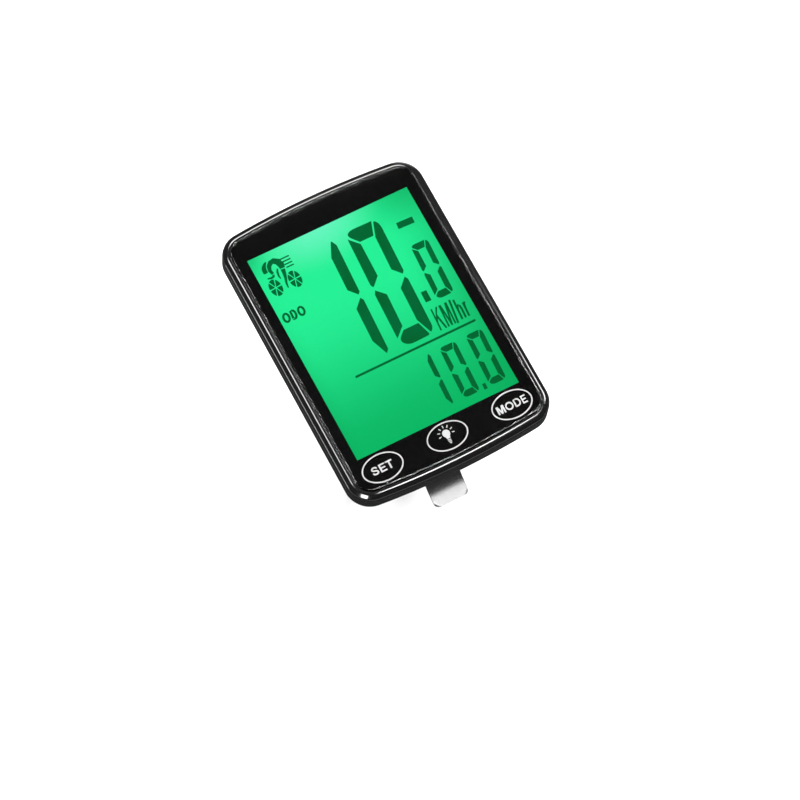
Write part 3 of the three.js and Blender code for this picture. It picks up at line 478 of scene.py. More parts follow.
# handling marks: soft smears and a few fine dust specks
def makeSmears():
    inputs = [("Vector", "NodeSocketVector", None)]
    outputs = [("Smear", "NodeSocketFloat"), ("Dust", "NodeSocketFloat")]
    group, entry, leave = newGroup("handlingMarks", inputs, outputs)
    stretch = addNode(group, "ShaderNodeMapping", {"Scale": (70.0, 26.0, 40.0)})
    group.links.new(entry.outputs["Vector"], stretch.inputs["Vector"])
    smear = addNode(group, "ShaderNodeTexNoise", {"Scale": 1.0, "Detail": 5.0, "Distortion": 0.8})
    group.links.new(stretch.outputs["Vector"], smear.inputs["Vector"])
    soft = remap(group, smear.outputs["Fac"], 0.45, 0.75)
    specks = addNode(group, "ShaderNodeTexVoronoi", {"Scale": 700.0})
    group.links.new(entry.outputs["Vector"], specks.inputs["Vector"])
    dust = remap(group, specks.outputs["Distance"], 0.1, 0.04)
    group.links.new(soft, leave.inputs["Smear"])
    group.links.new(dust, leave.inputs["Dust"])
    return group


# a soft round or oval patch of light or shade: 1 in its middle, 0 at its edge
def makePatch():
    inputs = [
        ("Vector", "NodeSocketVector", None),
        ("Middle", "NodeSocketVector", None),
        ("Reach", "NodeSocketVector", (1.0, 1.0, 1.0)),
    ]
    group, entry, leave = newGroup("softPatch", inputs, [("Mask", "NodeSocketFloat")])
    offset = addNode(group, "ShaderNodeVectorMath", {"operation": "SUBTRACT"})
    group.links.new(entry.outputs["Vector"], offset.inputs[0])
    group.links.new(entry.outputs["Middle"], offset.inputs[1])
    share = addNode(group, "ShaderNodeVectorMath", {"operation": "DIVIDE"})
    group.links.new(offset.outputs[0], share.inputs[0])
    group.links.new(entry.outputs["Reach"], share.inputs[1])
    far = addNode(group, "ShaderNodeVectorMath", {"operation": "LENGTH"})
    group.links.new(share.outputs[0], far.inputs[0])
    fade = addNode(
        group,
        "ShaderNodeMapRange",
        {"interpolation_type": "SMOOTHSTEP", "From Min": 1.0, "From Max": 0.0},
    )
    group.links.new(far.outputs["Value"], fade.inputs["Value"])
    group.links.new(fade.outputs["Result"], leave.inputs["Mask"])
    return group


# drawn lines of a rolled or brushed metal, along Y
def makeBrushing():
    inputs = [("Vector", "NodeSocketVector", None)]
    outputs = [("Lines", "NodeSocketFloat"), ("Tarnish", "NodeSocketFloat")]
    group, entry, leave = newGroup("brushedLines", inputs, outputs)
    stretch = addNode(group, "ShaderNodeMapping", {"Scale": (4200.0, 90.0, 900.0)})
    group.links.new(entry.outputs["Vector"], stretch.inputs["Vector"])
    lines = addNode(group, "ShaderNodeTexNoise", {"Scale": 1.0, "Detail": 3.0})
    group.links.new(stretch.outputs["Vector"], lines.inputs["Vector"])
    stain = addNode(group, "ShaderNodeTexNoise", {"Scale": 240.0, "Detail": 4.0})
    group.links.new(entry.outputs["Vector"], stain.inputs["Vector"])
    group.links.new(lines.outputs["Fac"], leave.inputs["Lines"])
    group.links.new(stain.outputs["Fac"], leave.inputs["Tarnish"])
    return group


grainGroup = makeGrain()
smearGroup = makeSmears()
patchGroup = makePatch()
brushGroup = makeBrushing()
print("shared effects")

# Materials


class Finish:
    def __init__(self, name, **settings):
        self.material = bpy.data.materials.new(name)
        self.material.use_nodes = True
        self.tree = self.material.node_tree
        self.shader = self.tree.nodes["Principled BSDF"]
        for label, value in settings.items():
            self.shader.inputs[label.replace("_", " ")].default_value = value
        self.place = self.tree.nodes.new("ShaderNodeTexCoord").outputs["Object"]

    def use(self, group, **values):
        node = self.tree.nodes.new("ShaderNodeGroup")
        node.node_tree = group
        self.tree.links.new(self.place, node.inputs["Vector"])
        for label, value in values.items():
            node.inputs[label].default_value = value
        return node.outputs

    def noise(self, scale, detail=3.0):
        values = {"Scale": scale, "Detail": detail}
        return addNode(self.tree, "ShaderNodeTexNoise", values, Vector=self.place).outputs["Fac"]

    def feed(self, label, source):
        self.tree.links.new(source, self.shader.inputs[label])

    def colourBetween(self, factor, first, second, label="Base Color"):
        self.feed(label, mixColours(self.tree, factor, first, second))

    def roughnessBetween(self, factor, low, high):
        self.feed("Roughness", remap(self.tree, factor, 0.0, 1.0, low, high))

    def bump(self, height, depth, strength=0.5):
        values = {"Strength": strength, "Distance": depth}
        node = addNode(self.tree, "ShaderNodeBump", values, Height=height)
        self.feed("Normal", node.outputs["Normal"])


def grey(level, alpha=1.0):
    return (level, level, level, alpha)


def moulded(name, dark, light, roughness, depth, scale=900.0, specular=0.4):
    finish = Finish(name, Specular_IOR_Level=specular)
    grain = finish.use(grainGroup, Scale=scale)
    finish.colourBetween(grain["Patches"], dark, light)
    finish.roughnessBetween(grain["Patches"], *roughness)
    finish.bump(grain["Height"], depth)
    return finish.material


def glossBlack():
    finish = Finish("glossBlack", Specular_IOR_Level=0.6)
    marks = finish.use(smearGroup)
    finish.colourBetween(marks["Dust"], grey(0.0045), grey(0.02))
    finish.roughnessBetween(marks["Smear"], 0.1, 0.19)
    finish.bump(finish.noise(420.0, 2.0), 0.00002, 0.05)  # faint moulding ripple
    return finish.material


def clearWindow():
    finish = Finish(
        "clearWindow", Transmission_Weight=1.0, IOR=1.45, Roughness=0.0, Metallic=0.0
    )
    marks = finish.use(smearGroup)
    finish.colourBetween(marks["Dust"], (1, 1, 1, 1), (0.9, 0.92, 0.92, 1))
    return finish.material


def displayGlass(name, colour):
    finish = Finish(name, Transmission_Weight=0.9, IOR=1.5, Roughness=0.02)
    finish.colourBetween(finish.noise(90.0), colour, (0.55, 0.8, 0.66, 1))
    return finish.material


def printBlack():
    finish = Finish("printBlack", Specular_IOR_Level=0.0)
    finish.colourBetween(finish.noise(1500.0), grey(0.0005), grey(0.0009))
    finish.roughnessBetween(finish.noise(400.0), 0.5, 0.7)
    return finish.material


def legendWhite():
    finish = Finish("legendWhite", Specular_IOR_Level=0.0)
    ink = finish.noise(2500.0)
    finish.colourBetween(ink, grey(0.15), grey(0.18))
    finish.roughnessBetween(ink, 0.5, 0.7)
    return finish.material


# places in millimetres from the middle of the display
glowSizes = {
    "strength": 1.0,
    "rows": (-25.0, 13.0),
    "base": (0.018, 0.93, 0.320, 1),
    "low": (0.001, 0.50, 0.132, 1),
    "spot": (0.16, 1.0, 0.60, 1),
    "edge": (0.001, 0.36, 0.088, 1),
    "spotPlace": (-2.8, 26.5),
    "spotReach": (17.0, 11.0),
    "spotWeight": 0.85,
    "patches": [
        ((-20.5, 27.5), (9.0, 9.0), 0.6),
        ((19.0, 28.0), (17.0, 14.0), 0.6),
        ((-22.0, -8.0), (7.0, 40.0), 0.3),
        ((24.0, -4.0), (15.0, 62.0), 0.6),
    ],
}


def screenGlow(sizes, middle):
    finish = Finish(
        "screenGlow", Roughness=0.5, Specular_IOR_Level=0.0, Emission_Strength=sizes["strength"]
    )
    tree = finish.tree
    split = addNode(tree, "ShaderNodeSeparateXYZ", Vector=finish.place)
    low, high = (middle.y + row for row in sizes["rows"])
    fade = addNode(
        tree,
        "ShaderNodeMapRange",
        {
            "interpolation_type": "SMOOTHSTEP",
            "From Min": low * millimetre,
            "From Max": high * millimetre,
        },
        Value=split.outputs["Y"],
    ).outputs["Result"]
    colour = mixColours(tree, fade, sizes["low"], sizes["base"])

    def patch(place, reach, weight, shade, under):
        spot = (middle.x + place[0], middle.y + place[1], middle.z)
        values = {
            "Middle": [c * millimetre for c in spot],
            "Reach": [reach[0] * millimetre, reach[1] * millimetre, 1.0],
        }
        mask = finish.use(patchGroup, **values)["Mask"]
        share = addNode(tree, "ShaderNodeMath", {"operation": "MULTIPLY"})
        tree.links.new(mask, share.inputs[0])
        share.inputs[1].default_value = weight
        return mixColours(tree, share.outputs[0], under, shade)

    for place, reach, weight in sizes["patches"]:
        colour = patch(place, reach, weight, sizes["edge"], colour)
    colour = patch(sizes["spotPlace"], sizes["spotReach"], sizes["spotWeight"], sizes["spot"], colour)
    finish.feed("Emission Color", colour)
    finish.colourBetween(finish.noise(900.0), (0.0002, 0.001, 0.0005, 1), (0.0003, 0.0015, 0.0008, 1))
    return finish.material


def segmentInk():
    finish = Finish("segmentInk", Roughness=0.6, Specular_IOR_Level=0.0, Emission_Strength=1.0)
    shade = finish.noise(160.0, 1.0)
    finish.colourBetween(shade, (0.0, 0.115, 0.018, 1), (0.0, 0.15, 0.045, 1), "Emission Color")
    finish.colourBetween(shade, (0.0, 0.001, 0.0003, 1), (0.0, 0.0015, 0.0005, 1))
    return finish.material


def brushedSteel(name, light, dark, roughness, strength=0.2):
    finish = Finish(name, Metallic=1.0)
    brush = finish.use(brushGroup)
    finish.colourBetween(brush["Tarnish"], light, dark)
    finish.roughnessBetween(brush["Lines"], *roughness)
    finish.bump(brush["Lines"], 0.00002, strength)
    return finish.material


def circuitBoard():
    finish = Finish("circuitBoard", Roughness=0.35, Specular_IOR_Level=0.5)
    tree = finish.tree
    tracks = addNode(
        tree, "ShaderNodeTexBrick", {"Scale": 260.0, "Mortar Size": 0.06}, Vector=finish.place
    )
    tracks.inputs["Color1"].default_value = (0.015, 0.10, 0.04, 1)
    tracks.inputs["Color2"].default_value = (0.02, 0.13, 0.055, 1)
    tracks.inputs["Mortar"].default_value = (0.03, 0.22, 0.09, 1)
    finish.feed("Base Color", tracks.outputs["Color"])
    finish.bump(tracks.outputs["Fac"], 0.00002)
    return finish.material


def woundCopper():
    finish = Finish("woundCopper", Metallic=0.8)
    tree = finish.tree
    turns = addNode(
        tree, "ShaderNodeTexWave", {"Scale": 1500.0, "Distortion": 0.3}, Vector=finish.place
    )
    # painted shade: the colour follows the waves of the bump, darker in the valleys between the turns and
    # lighter on their crowns
    finish.colourBetween(turns.outputs["Fac"], (0.20, 0.06, 0.02, 1), (0.62, 0.27, 0.12, 1))
    finish.roughnessBetween(turns.outputs["Fac"], 0.25, 0.45)
    finish.bump(turns.outputs["Fac"], 0.00005, 0.8)
    return finish.material


def litPlastic(name, colour, other, strength):
    finish = Finish(name, Roughness=0.3, Emission_Strength=strength)
    shade = finish.noise(300.0)
    finish.colourBetween(shade, colour, other)
    finish.colourBetween(shade, colour, other, "Emission Color")
    return finish.material


screenMiddle = headPlace + Vector((0, 1.3, -1.88))
finishes = {
    "gloss": glossBlack(),
    "satin": moulded("satinBlack", grey(0.014), grey(0.02), (0.42, 0.55), 0.00006, 900.0, 0.3),
    "bracket": moulded("bracketBlack", grey(0.013), grey(0.022), (0.5, 0.65), 0.00009, 700.0),
    "window": clearWindow(),
    "print": printBlack(),
    "legend": legendWhite(),
    "glow": screenGlow(glowSizes, screenMiddle),
    "ink": segmentInk(),
    "glass": displayGlass("displayGlass", (0.35, 0.75, 0.55, 1)),
    "film": moulded("filmGrey", (0.45, 0.6, 0.5, 1), (0.55, 0.7, 0.6, 1), (0.25, 0.4), 0.00001),
    "tape": moulded("foamTape", grey(0.012), grey(0.02), (0.8, 0.95), 0.00012, 500.0),
    "whitePlastic": moulded("whiteMoulding", grey(0.62), grey(0.72), (0.4, 0.55), 0.00003),
    "guide": litPlastic("litGuide", (0.1, 0.8, 0.4, 1), (0.2, 0.9, 0.5, 1), 0.6),
    "lamp": litPlastic("litLamp", (0.3, 1.0, 0.6, 1), (0.5, 1.0, 0.75, 1), 2.0),
    "rubber": moulded("padRubber", grey(0.014), grey(0.028), (0.75, 0.92), 0.00008, 600.0, 0.3),
    "board": circuitBoard(),
    "epoxy": moulded("blackEpoxy", grey(0.008), grey(0.015), (0.2, 0.35), 0.00002, 300.0),
    "spring": brushedSteel("springSteel", grey(0.46), grey(0.39), (0.16, 0.26)),
    "screw": brushedSteel("screwSteel", grey(0.55), grey(0.42), (0.25, 0.42)),
    "cell": brushedSteel("cellSteel", grey(0.68), grey(0.55), (0.2, 0.32), 0.12),
    "contact": brushedSteel("contactMetal", (0.75, 0.62, 0.36, 1), (0.65, 0.52, 0.3, 1), (0.2, 0.35)),
    "copper": woundCopper(),
    "ferrite": moulded("darkFerrite", grey(0.02), grey(0.045), (0.6, 0.8), 0.00005, 400.0),
    "nylon": moulded("satinNylon", grey(0.011), grey(0.02), (0.32, 0.48), 0.00004, 500.0, 0.45),
}
print("materials", len(finishes))

# The case: straight sides, bowed ends and round corners

caseSizes = {
    "width": frontHigh.x - frontLow.x,
    "height": frontHigh.y - frontLow.y,
    "corner": 5.0,
    "endRise": 1.439,
    "cornerSteps": 14,
    "endCuts": 27,
    "wall": 1.6,
    "joint": -4.7,
    "shoulder": -0.75,
    "rimInset": 1.16,
    "rimWidth": 0.57,
    "pocketFloor": -0.73,
    "deckUnder": -1.83,
    "viewHalf": (19.8, 25.75),
    "viewMiddle": 1.3,
    "keyPlaces": [(-15.4, -27.8), (0, -27.8), (15.4, -27.8)],
    "keyHole": 2.4,
    "bosses": [(9.2, -27.6, 1.0, -4.95), (18.9, -27.6, 0.8, -5.88)],
    "bossWall": 0.7,
    "rimEdge": 0.28,
    "shoulderEdge": 0.45,
    "jointEdge": 0.15,
    "pocketEdge": 0.08,
}
endRadius = ((caseSizes["width"] / 2) ** 2 + caseSizes["endRise"] ** 2) / (2 * caseSizes["endRise"])


def bowedBlank(name, inset, bottom, top):
    halfWidth = caseSizes["width"] / 2 - inset
    radius = endRadius - inset

    def drop(x):
        return radius - math.sqrt(radius**2 - x**2)

    sideHalf = caseSizes["height"] / 2 - inset - drop(halfWidth)
    piece = block(name, (-halfWidth, -sideHalf, bottom), (halfWidth, sideHalf, top))
    corner = max(caseSizes["corner"] - inset, 0.3)
    bevelEdges(piece, isUpright, corner, caseSizes["cornerSteps"])

    def isEnd(edge):
        a, b = (v.co for v in edge.verts)
        return abs(a.y - b.y) < 0.001 and abs(a.z - b.z) < 0.001 and abs(a.x - b.x) > halfWidth

    pick(piece, "EDGE", isEnd)
    bpy.ops.mesh.subdivide(number_cuts=caseSizes["endCuts"])
    leaveEdit()
    for vertex in piece.data.vertices:
        rise = drop(halfWidth) - drop(vertex.co.x)
        vertex.co.y += math.copysign(rise, vertex.co.y)
    return piece


def frontCase(sizes):
    piece = bowedBlank("frontCase", 0, sizes["joint"], sizes["shoulder"])
    insetFace(piece, topFace(piece), sizes["rimInset"], -sizes["shoulder"])
    bevelEdges(piece, sharpAt(0), sizes["rimEdge"], 6)
    bevelEdges(piece, sharpAt(sizes["shoulder"]), sizes["shoulderEdge"], 6)
    bevelEdges(piece, sharpAt(sizes["joint"]), sizes["jointEdge"], 2)
    pocketInset = sizes["rimInset"] + sizes["rimWidth"]
    cutAway(piece, bowedBlank("pocket", pocketInset, sizes["pocketFloor"], 1))
    bevelEdges(piece, sharpAt(0), sizes["pocketEdge"], 2)
    cutAway(piece, bowedBlank("hollow", sizes["wall"], sizes["joint"] - 5, sizes["deckUnder"]))
    halfX, halfY = sizes["viewHalf"]
    middle = sizes["viewMiddle"]
    view = block("view", (-halfX, middle - halfY, -3), (halfX, middle + halfY, 1))
    holes = [
        rod("keyHole", sizes["keyHole"], (x, y, -3), (x, y, 1)) for x, y in sizes["keyPlaces"]
    ]
    cutAway(piece, view, *holes)
    deck = sizes["deckUnder"]
    for reach, y, pilot, low in sizes["bosses"]:
        for x in (-reach, reach):
            joinOn(piece, rod("post", pilot + sizes["bossWall"], (x, y, low), (x, y, deck + 0.1), 32))
            cutAway(piece, rod("bore", pilot, (x, y, low - 1), (x, y, deck - 0.4), 24))
    return piece


finishPiece(
    frontCase(caseSizes), finishes["gloss"], "head", ["front_housing"], headPlace
)
print("front case")

# The window, its print and the key legends

windowSizes = {
    "inset": 1.98,
    "bottom": -0.43,
    "top": 0.87,
    "edge": 0.22,
    "underEdge": 0.08,
    "printInset": 2.05,
    "printLevels": (-0.475, -0.462),
    "openHalf": (19.3, 25.25),
    "legendLevels": (-0.455, -0.447),
}

keySizes = {
    "middles": [(-15.3, -29.0), (0.12, -29.0), (15.6, -29.0)],
    "size": (9.35, 6.3),
    "stroke": 0.27,
    "letterStroke": 0.33,
    "set": [("S", -17.9, -16.3), ("E", -16.0, -14.6), ("T", -14.4, -12.9)],
    "mode": [("M", 12.05, 13.8), ("O", 14.05, 15.85), ("D", 16.1, 17.6), ("E", 17.9, 19.0)],
    "capHeight": (-29.95, -28.1),
}


def windowLens(sizes):
    piece = bowedBlank("windowLens", sizes["inset"], sizes["bottom"], sizes["top"])
    bevelEdges(piece, sharpAt(sizes["top"]), sizes["edge"], 4)
    bevelEdges(piece, sharpAt(sizes["bottom"]), sizes["underEdge"], 2)
    return piece


def windowPrint(sizes):
    piece = bowedBlank("windowPrint", sizes["printInset"], *sizes["printLevels"])
    halfX, halfY = sizes["openHalf"]
    middle = caseSizes["viewMiddle"]
    opening = block("opening", (-halfX, middle - halfY, -1), (halfX, middle + halfY, 0))
    return cutAway(piece, opening)


# A flat printed shape, placed round the middle of the display.
def inkShape(name, outlines, levels, shift=(0, 0)):
    return flatShape(name, outlines, levels, shift, forward=caseSizes["viewMiddle"])


def ellipse(middle, size, steps=72, lean=0.0):
    outline = []
    for i in range(steps):
        angle = 2 * math.pi * i / steps
        y = size[1] / 2 * math.sin(angle)
        outline.append((middle[0] + size[0] / 2 * math.cos(angle) - lean * y, middle[1] + y))
    return outline


# A band of changing width along a line of points.
def ribbon(points, widths):
    line = [Vector(p) for p in points]
    left, right = [], []
    for i, point in enumerate(line):
        along = (line[min(i + 1, len(line) - 1)] - line[max(i - 1, 0)]).normalized()
        across = Vector((-along.y, along.x)) * widths[min(i, len(widths) - 1)] / 2
        left.append(tuple(point + across))
        right.append(tuple(point - across))
    return left + right[::-1]


# Corners given with a third number are rounded to that radius.
def softOutline(points, steps=5):
    outline = []
    count = len(points)
    for i, corner in enumerate(points):
        here = Vector(corner[:2])
        radius = corner[2] if len(corner) > 2 else 0
        if not radius:
            outline.append(tuple(here))
            continue
        before = Vector(points[i - 1][:2]) - here
        after = Vector(points[(i + 1) % count][:2]) - here
        start = here + before.normalized() * min(radius, before.length / 2)
        end = here + after.normalized() * min(radius, after.length / 2)
        for step in range(steps + 1):
            t = step / steps
            outline.append(tuple(start * (1 - t) ** 2 + here * 2 * t * (1 - t) + end * t**2))
    return outline


# Plain letters in a unit box: outlines, rings (a second list is the hole) and strokes (a line of points).
letterShapes = {
    "M": [("face", [(0, 0), (0.2, 0), (0.2, 0.62), (0.4, 0), (0.6, 0), (0.8, 0.62), (0.8, 0), (1, 0),
                    (1, 1), (0.72, 1), (0.5, 0.36), (0.28, 1), (0, 1)])],
    "K": [("face", [(0, 0), (0.21, 0), (0.21, 0.33), (0.37, 0.52), (0.76, 0), (1.02, 0), (0.52, 0.68),
                    (0.98, 1), (0.72, 1), (0.21, 0.6), (0.21, 1), (0, 1)])],
    "E": [("face", [(0, 0), (1, 0), (1, 0.17), (0.25, 0.17), (0.25, 0.42), (0.92, 0.42), (0.92, 0.59),
                    (0.25, 0.59), (0.25, 0.83), (0.98, 0.83), (0.98, 1), (0, 1)])],
    "T": [("face", [(0.38, 0), (0.62, 0), (0.62, 0.83), (1, 0.83), (1, 1), (0, 1), (0, 0.83),
                    (0.38, 0.83)])],
    "O": [("line", [(0.5 + 0.5 * math.cos(math.pi * i / 16), 0.5 + 0.5 * math.sin(math.pi * i / 16))
                    for i in range(33)])],
    "D": [("line", [(0, 0), (0, 1), (0.5, 1), (0.75, 0.93), (0.93, 0.74), (1, 0.5), (0.93, 0.26),
                    (0.75, 0.07), (0.5, 0), (-0.1, 0)])],
    "S": [("line", [(0.95, 0.76), (0.85, 0.92), (0.64, 0.99), (0.38, 0.99), (0.15, 0.92), (0.05, 0.76),
                    (0.14, 0.61), (0.38, 0.54), (0.66, 0.48), (0.89, 0.4), (0.96, 0.24), (0.84, 0.07),
                    (0.6, 0.0), (0.36, 0.01), (0.13, 0.08), (0.02, 0.27)])],
    "h": [("line", [(0, 0), (0, 1)]),
          ("line", [(0, 0.45), (0.2, 0.62), (0.55, 0.69), (0.85, 0.62), (1, 0.45), (1, 0)])],
    "r": [("line", [(0, 0), (0, 0.7)]), ("line", [(0, 0.42), (0.3, 0.62), (1, 0.7)])],
    "/": [("line", [(0, -0.08), (1, 1.08)])],
}


# A word from its letters, each with its left and right edge; a stroke's middle stays inside the box.
def drawWord(name, letters, rows, levels, stroke, lean=0.0, shift=(0, 0)):
    parts = []
    low, high = rows
    for letter, left, right in letters:
        for kind, points in letterShapes[letter]:
            pad = stroke / 2 if kind == "line" else 0
            placed = []
            for x, y in points:
                px = left + pad + x * (right - left - 2 * pad)
                py = low + pad + y * (high - low - 2 * pad)
                placed.append((px + lean * (py - low), py))
            if kind == "line" and (Vector(placed[0]) - Vector(placed[-1])).length < 0.001:
                middle = ((left + right) / 2 + lean * (high - low) / 2, (low + high) / 2)
                size = (right - left, high - low)
                inner = (size[0] - 2 * stroke, size[1] - 2 * stroke)
                outlines = [ellipse(middle, size, 40, -lean), ellipse(middle, inner, 40, -lean)]
            elif kind == "line":
                outlines = [ribbon(placed, [stroke])]
            else:
                outlines = [placed]
            parts.append(inkShape("letter", outlines, levels, shift))
    return joinPieces(name, parts) if len(parts) > 1 else parts[0]


def bulbOutlines(x, y):
    glass = []
    for i in range(25):
        angle = math.radians(-52 + (284 * i) / 24)
        glass.append((x + 0.86 * math.cos(angle), y + 0.6 + 0.86 * math.sin(angle)))
    glass += [(x - 0.36, y - 0.62), (x + 0.36, y - 0.62)]
    outlines = [glass]
    for row, half in ((-0.76, 0.38), (-1.12, 0.36)):
        outlines.append([(x - half, y + row), (x + half, y + row - 0.1),
                         (x + half, y + row - 0.3), (x - half, y + row - 0.2)])
    outlines.append([(x - 0.28, y - 1.46), (x + 0.28, y - 1.54),
                     (x + 0.14, y - 1.78), (x - 0.14, y - 1.78)])
    for i in range(7):
        angle = math.radians(-12 + 34 * i)
        toward = Vector((math.cos(angle), math.sin(angle)))
        middle = Vector((x, y + 0.62))
        outlines.append(ribbon([middle + toward * 1.25, middle + toward * 1.85], [0.17, 0.22]))
    return outlines


def keyLegends(sizes):
    levels = windowSizes["legendLevels"]
    parts = []
    width, height = sizes["size"]
    for x, y in sizes["middles"]:
        inner = (width - 2 * sizes["stroke"], height - 2 * sizes["stroke"])
        ring = [ellipse((x, y), (width, height)), ellipse((x, y), inner)]
        parts.append(inkShape("oval", ring, levels))
    rows, stroke = sizes["capHeight"], sizes["letterStroke"]
    parts.append(drawWord("setWord", sizes["set"], rows, levels, stroke))
    parts.append(drawWord("modeWord", sizes["mode"], rows, levels, stroke))
    parts.append(inkShape("bulb", bulbOutlines(*sizes["middles"][1]), levels))
    return joinPieces("keyLegends", parts)


windowPiece = finishPiece(
    windowLens(windowSizes), finishes["window"], "head", ["window_lens"], headPlace
)
windowPiece.visible_shadow = False  # so the print and the display behind it are lit
finishPiece(windowPrint(windowSizes), finishes["print"], "head", (), headPlace)
finishPiece(keyLegends(keySizes), finishes["legend"], "head", (), headPlace)
print("window, print and key legends")

# What the display shows

# The shapes stand on the front film, as drawn for a reader at the lower left.
displaySizes = {
    "levels": (-1.872, -1.856),
    "shift": (0.33, 0.46),
    "divider": (-11.0, 17.9, -8.64, 0.52),
}

# a nought and a one in the big size; corners with a third number are rounded
zeroSegments = [
    [(2.35, 20.75, 1.3), (3.4, 21.75, 1.3), (8.75, 21.65), (7.6, 18.4), (4.35, 18.4)],
    [(2.2, 20.1), (4.25, 17.9), (4.05, 9.75), (2.0, 7.75, 0.3), (1.62, 8.5, 0.3)],
    [(9.15, 21.6, 0.6), (10.15, 20.3, 1.4), (9.6, 8.4), (9.1, 7.75), (7.35, 9.75), (7.8, 17.9)],
    [(1.95, 7.0), (3.8, 5.1), (3.35, -2.8), (1.05, -4.9), (1.45, 6.1)],
    [(9.1, 7.0), (9.55, 6.2), (9.05, -5.9, 0.8), (8.2, -6.9, 0.5), (6.75, -3.0), (7.1, 5.0)],
    [(1.1, -5.6, 1.3), (3.1, -3.75), (6.7, -3.75), (7.75, -7.2, 0.5), (2.55, -7.35, 1.6)],
]
oneSegments = [
    [(-1.2, 21.5, 0.5), (-0.5, 20.0), (-1.1, 8.3), (-1.6, 7.75), (-3.3, 9.7), (-2.9, 17.9)],
    [(-1.65, 6.95), (-1.2, 6.2), (-1.8, -6.0), (-2.5, -6.9, 0.3), (-3.95, -3.0), (-3.6, 5.0)],
]
zeroBox = (1.05, 10.15, -7.35, 21.75)
oneBox = (-3.95, -0.5, -6.9, 21.5)
digitPlaces = [
    (zeroSegments, zeroBox, zeroBox),
    (oneSegments, oneBox, oneBox),
    (zeroSegments, zeroBox, (12.85, 17.55, -0.9, 12.7)),
    (oneSegments, oneBox, (3.8, 5.45, -23.2, -10.85)),
    (zeroSegments, zeroBox, (7.25, 11.7, -23.3, -10.85)),
    (zeroSegments, zeroBox, (13.6, 18.05, -23.3, -10.85)),
]
# a letter with its left and right edge
odoWord = {
    "letters": [("O", -18.75, -17.0), ("D", -16.8, -15.4), ("O", -15.2, -13.45)],
    "rows": (8.75, 11.15),
    "stroke": 0.5,
    "lean": 0.05,
}
unitWord = {
    "letters": [("K", 10.1, 11.75), ("M", 12.0, 13.95), ("/", 14.1, 14.95), ("h", 15.3, 16.6),
                ("r", 16.95, 17.85)],
    "rows": (-7.45, -2.2),
    "stroke": 0.46,
    "lean": 0.06,
}


def movedOutline(outline, fromBox, toBox):
    x0, x1, y0, y1 = fromBox
    u0, u1, v0, v1 = toBox
    kx, ky = (u1 - u0) / (x1 - x0), (v1 - v0) / (y1 - y0)
    return [
        (u0 + (p[0] - x0) * kx, v0 + (p[1] - y0) * ky, *[r * (kx + ky) / 2 for r in p[2:]])
        for p in outline
    ]


def wheelOutlines(x, y, width, height, lean):
    outlines = []
    spokes = 6
    for i in range(spokes):
        start = 360 / spokes * i + 8
        sweep = 360 / spokes - 9
        wedge = []
        for step in range(7):
            angle = math.radians(start + sweep * step / 6)
            up = height / 2 * math.sin(angle)
            wedge.append((x + width / 2 * math.cos(angle) - lean * up, y + up))
        angle = math.radians(start + sweep / 2)
        up = 0.2 * math.sin(angle)
        wedge.append((x + 0.16 * math.cos(angle) - lean * up, y + up))
        outlines.append(wedge)
    return outlines


def riderOutlines():
    helmet = softOutline([(-17.55, 20.95, 0.3), (-17.5, 22.5, 0.9), (-16.2, 23.45, 0.5),
                          (-15.75, 23.3), (-16.45, 22.3, 0.6), (-16.55, 20.9, 0.3)])
    back = ribbon([(-15.75, 20.2), (-16.0, 21.2), (-15.75, 22.1), (-15.1, 22.75), (-14.3, 22.85),
                   (-13.6, 22.3), (-13.25, 21.4), (-13.3, 20.5)], [0.62, 0.8, 1.0, 1.1, 1.3, 1.5, 1.5, 1.1])
    arm = ribbon([(-15.7, 20.0), (-15.95, 19.6), (-16.5, 19.5), (-17.3, 19.7)], [0.5, 0.55, 0.5, 0.3])
    shin = ribbon([(-13.35, 20.3), (-13.5, 19.3), (-13.75, 18.2), (-14.15, 17.0), (-14.25, 15.9)],
                  [1.0, 0.8, 0.6, 0.45, 0.25])
    thigh = ribbon([(-14.35, 20.9), (-14.7, 20.2), (-14.85, 19.2), (-14.75, 18.5)], [0.3, 0.45, 0.4, 0.2])
    outlines = [helmet, back, arm, shin, thigh]
    # four lines of wind behind the rider
    end, half = -10.75, 0.15
    for row, left in ((22.5, -13.0), (21.75, -12.75), (21.0, -12.6), (20.25, -12.5)):
        outlines.append([(left, row - half), (end, row - half), (end, row + half), (left, row + half)])
    for middle in (-16.65, -12.05):
        outlines += wheelOutlines(middle, 17.1, 2.75, 4.1, 0.05)
    return outlines


def displayContent(sizes):
    levels, shift = sizes["levels"], sizes["shift"]
    parts = []
    for segments, fromBox, toBox in digitPlaces:
        outlines = [softOutline(movedOutline(s, fromBox, toBox)) for s in segments]
        parts.append(inkShape("digit", outlines, levels, shift))
    left, right, row, stroke = sizes["divider"]
    low, high = row - stroke / 2, row + stroke / 2
    marks = [
        [(left, low), (right, low), (right, high), (left, high)],
        [(13.15, 17.3), (17.0, 17.15), (17.1, 18.65), (13.3, 18.8)],
        [(10.35, -0.35), (11.7, -0.4), (11.75, 2.15), (10.45, 2.2)],
        [(12.05, -23.5), (12.85, -23.5), (12.9, -22.15), (12.15, -22.15)],
    ]
    parts.append(inkShape("marks", marks, levels, shift))
    parts += [inkShape("rider", [outline], levels, shift) for outline in riderOutlines()]
    for name, word in (("odoWord", odoWord), ("unitWord", unitWord)):
        parts.append(
            drawWord(name, word["letters"], word["rows"], levels, word["stroke"], word["lean"], shift)
        )
    return joinPieces("displayContent", parts)


finishPiece(displayContent(displaySizes), finishes["ink"], "head", (), headPlace)
print("display content")

# The back housing

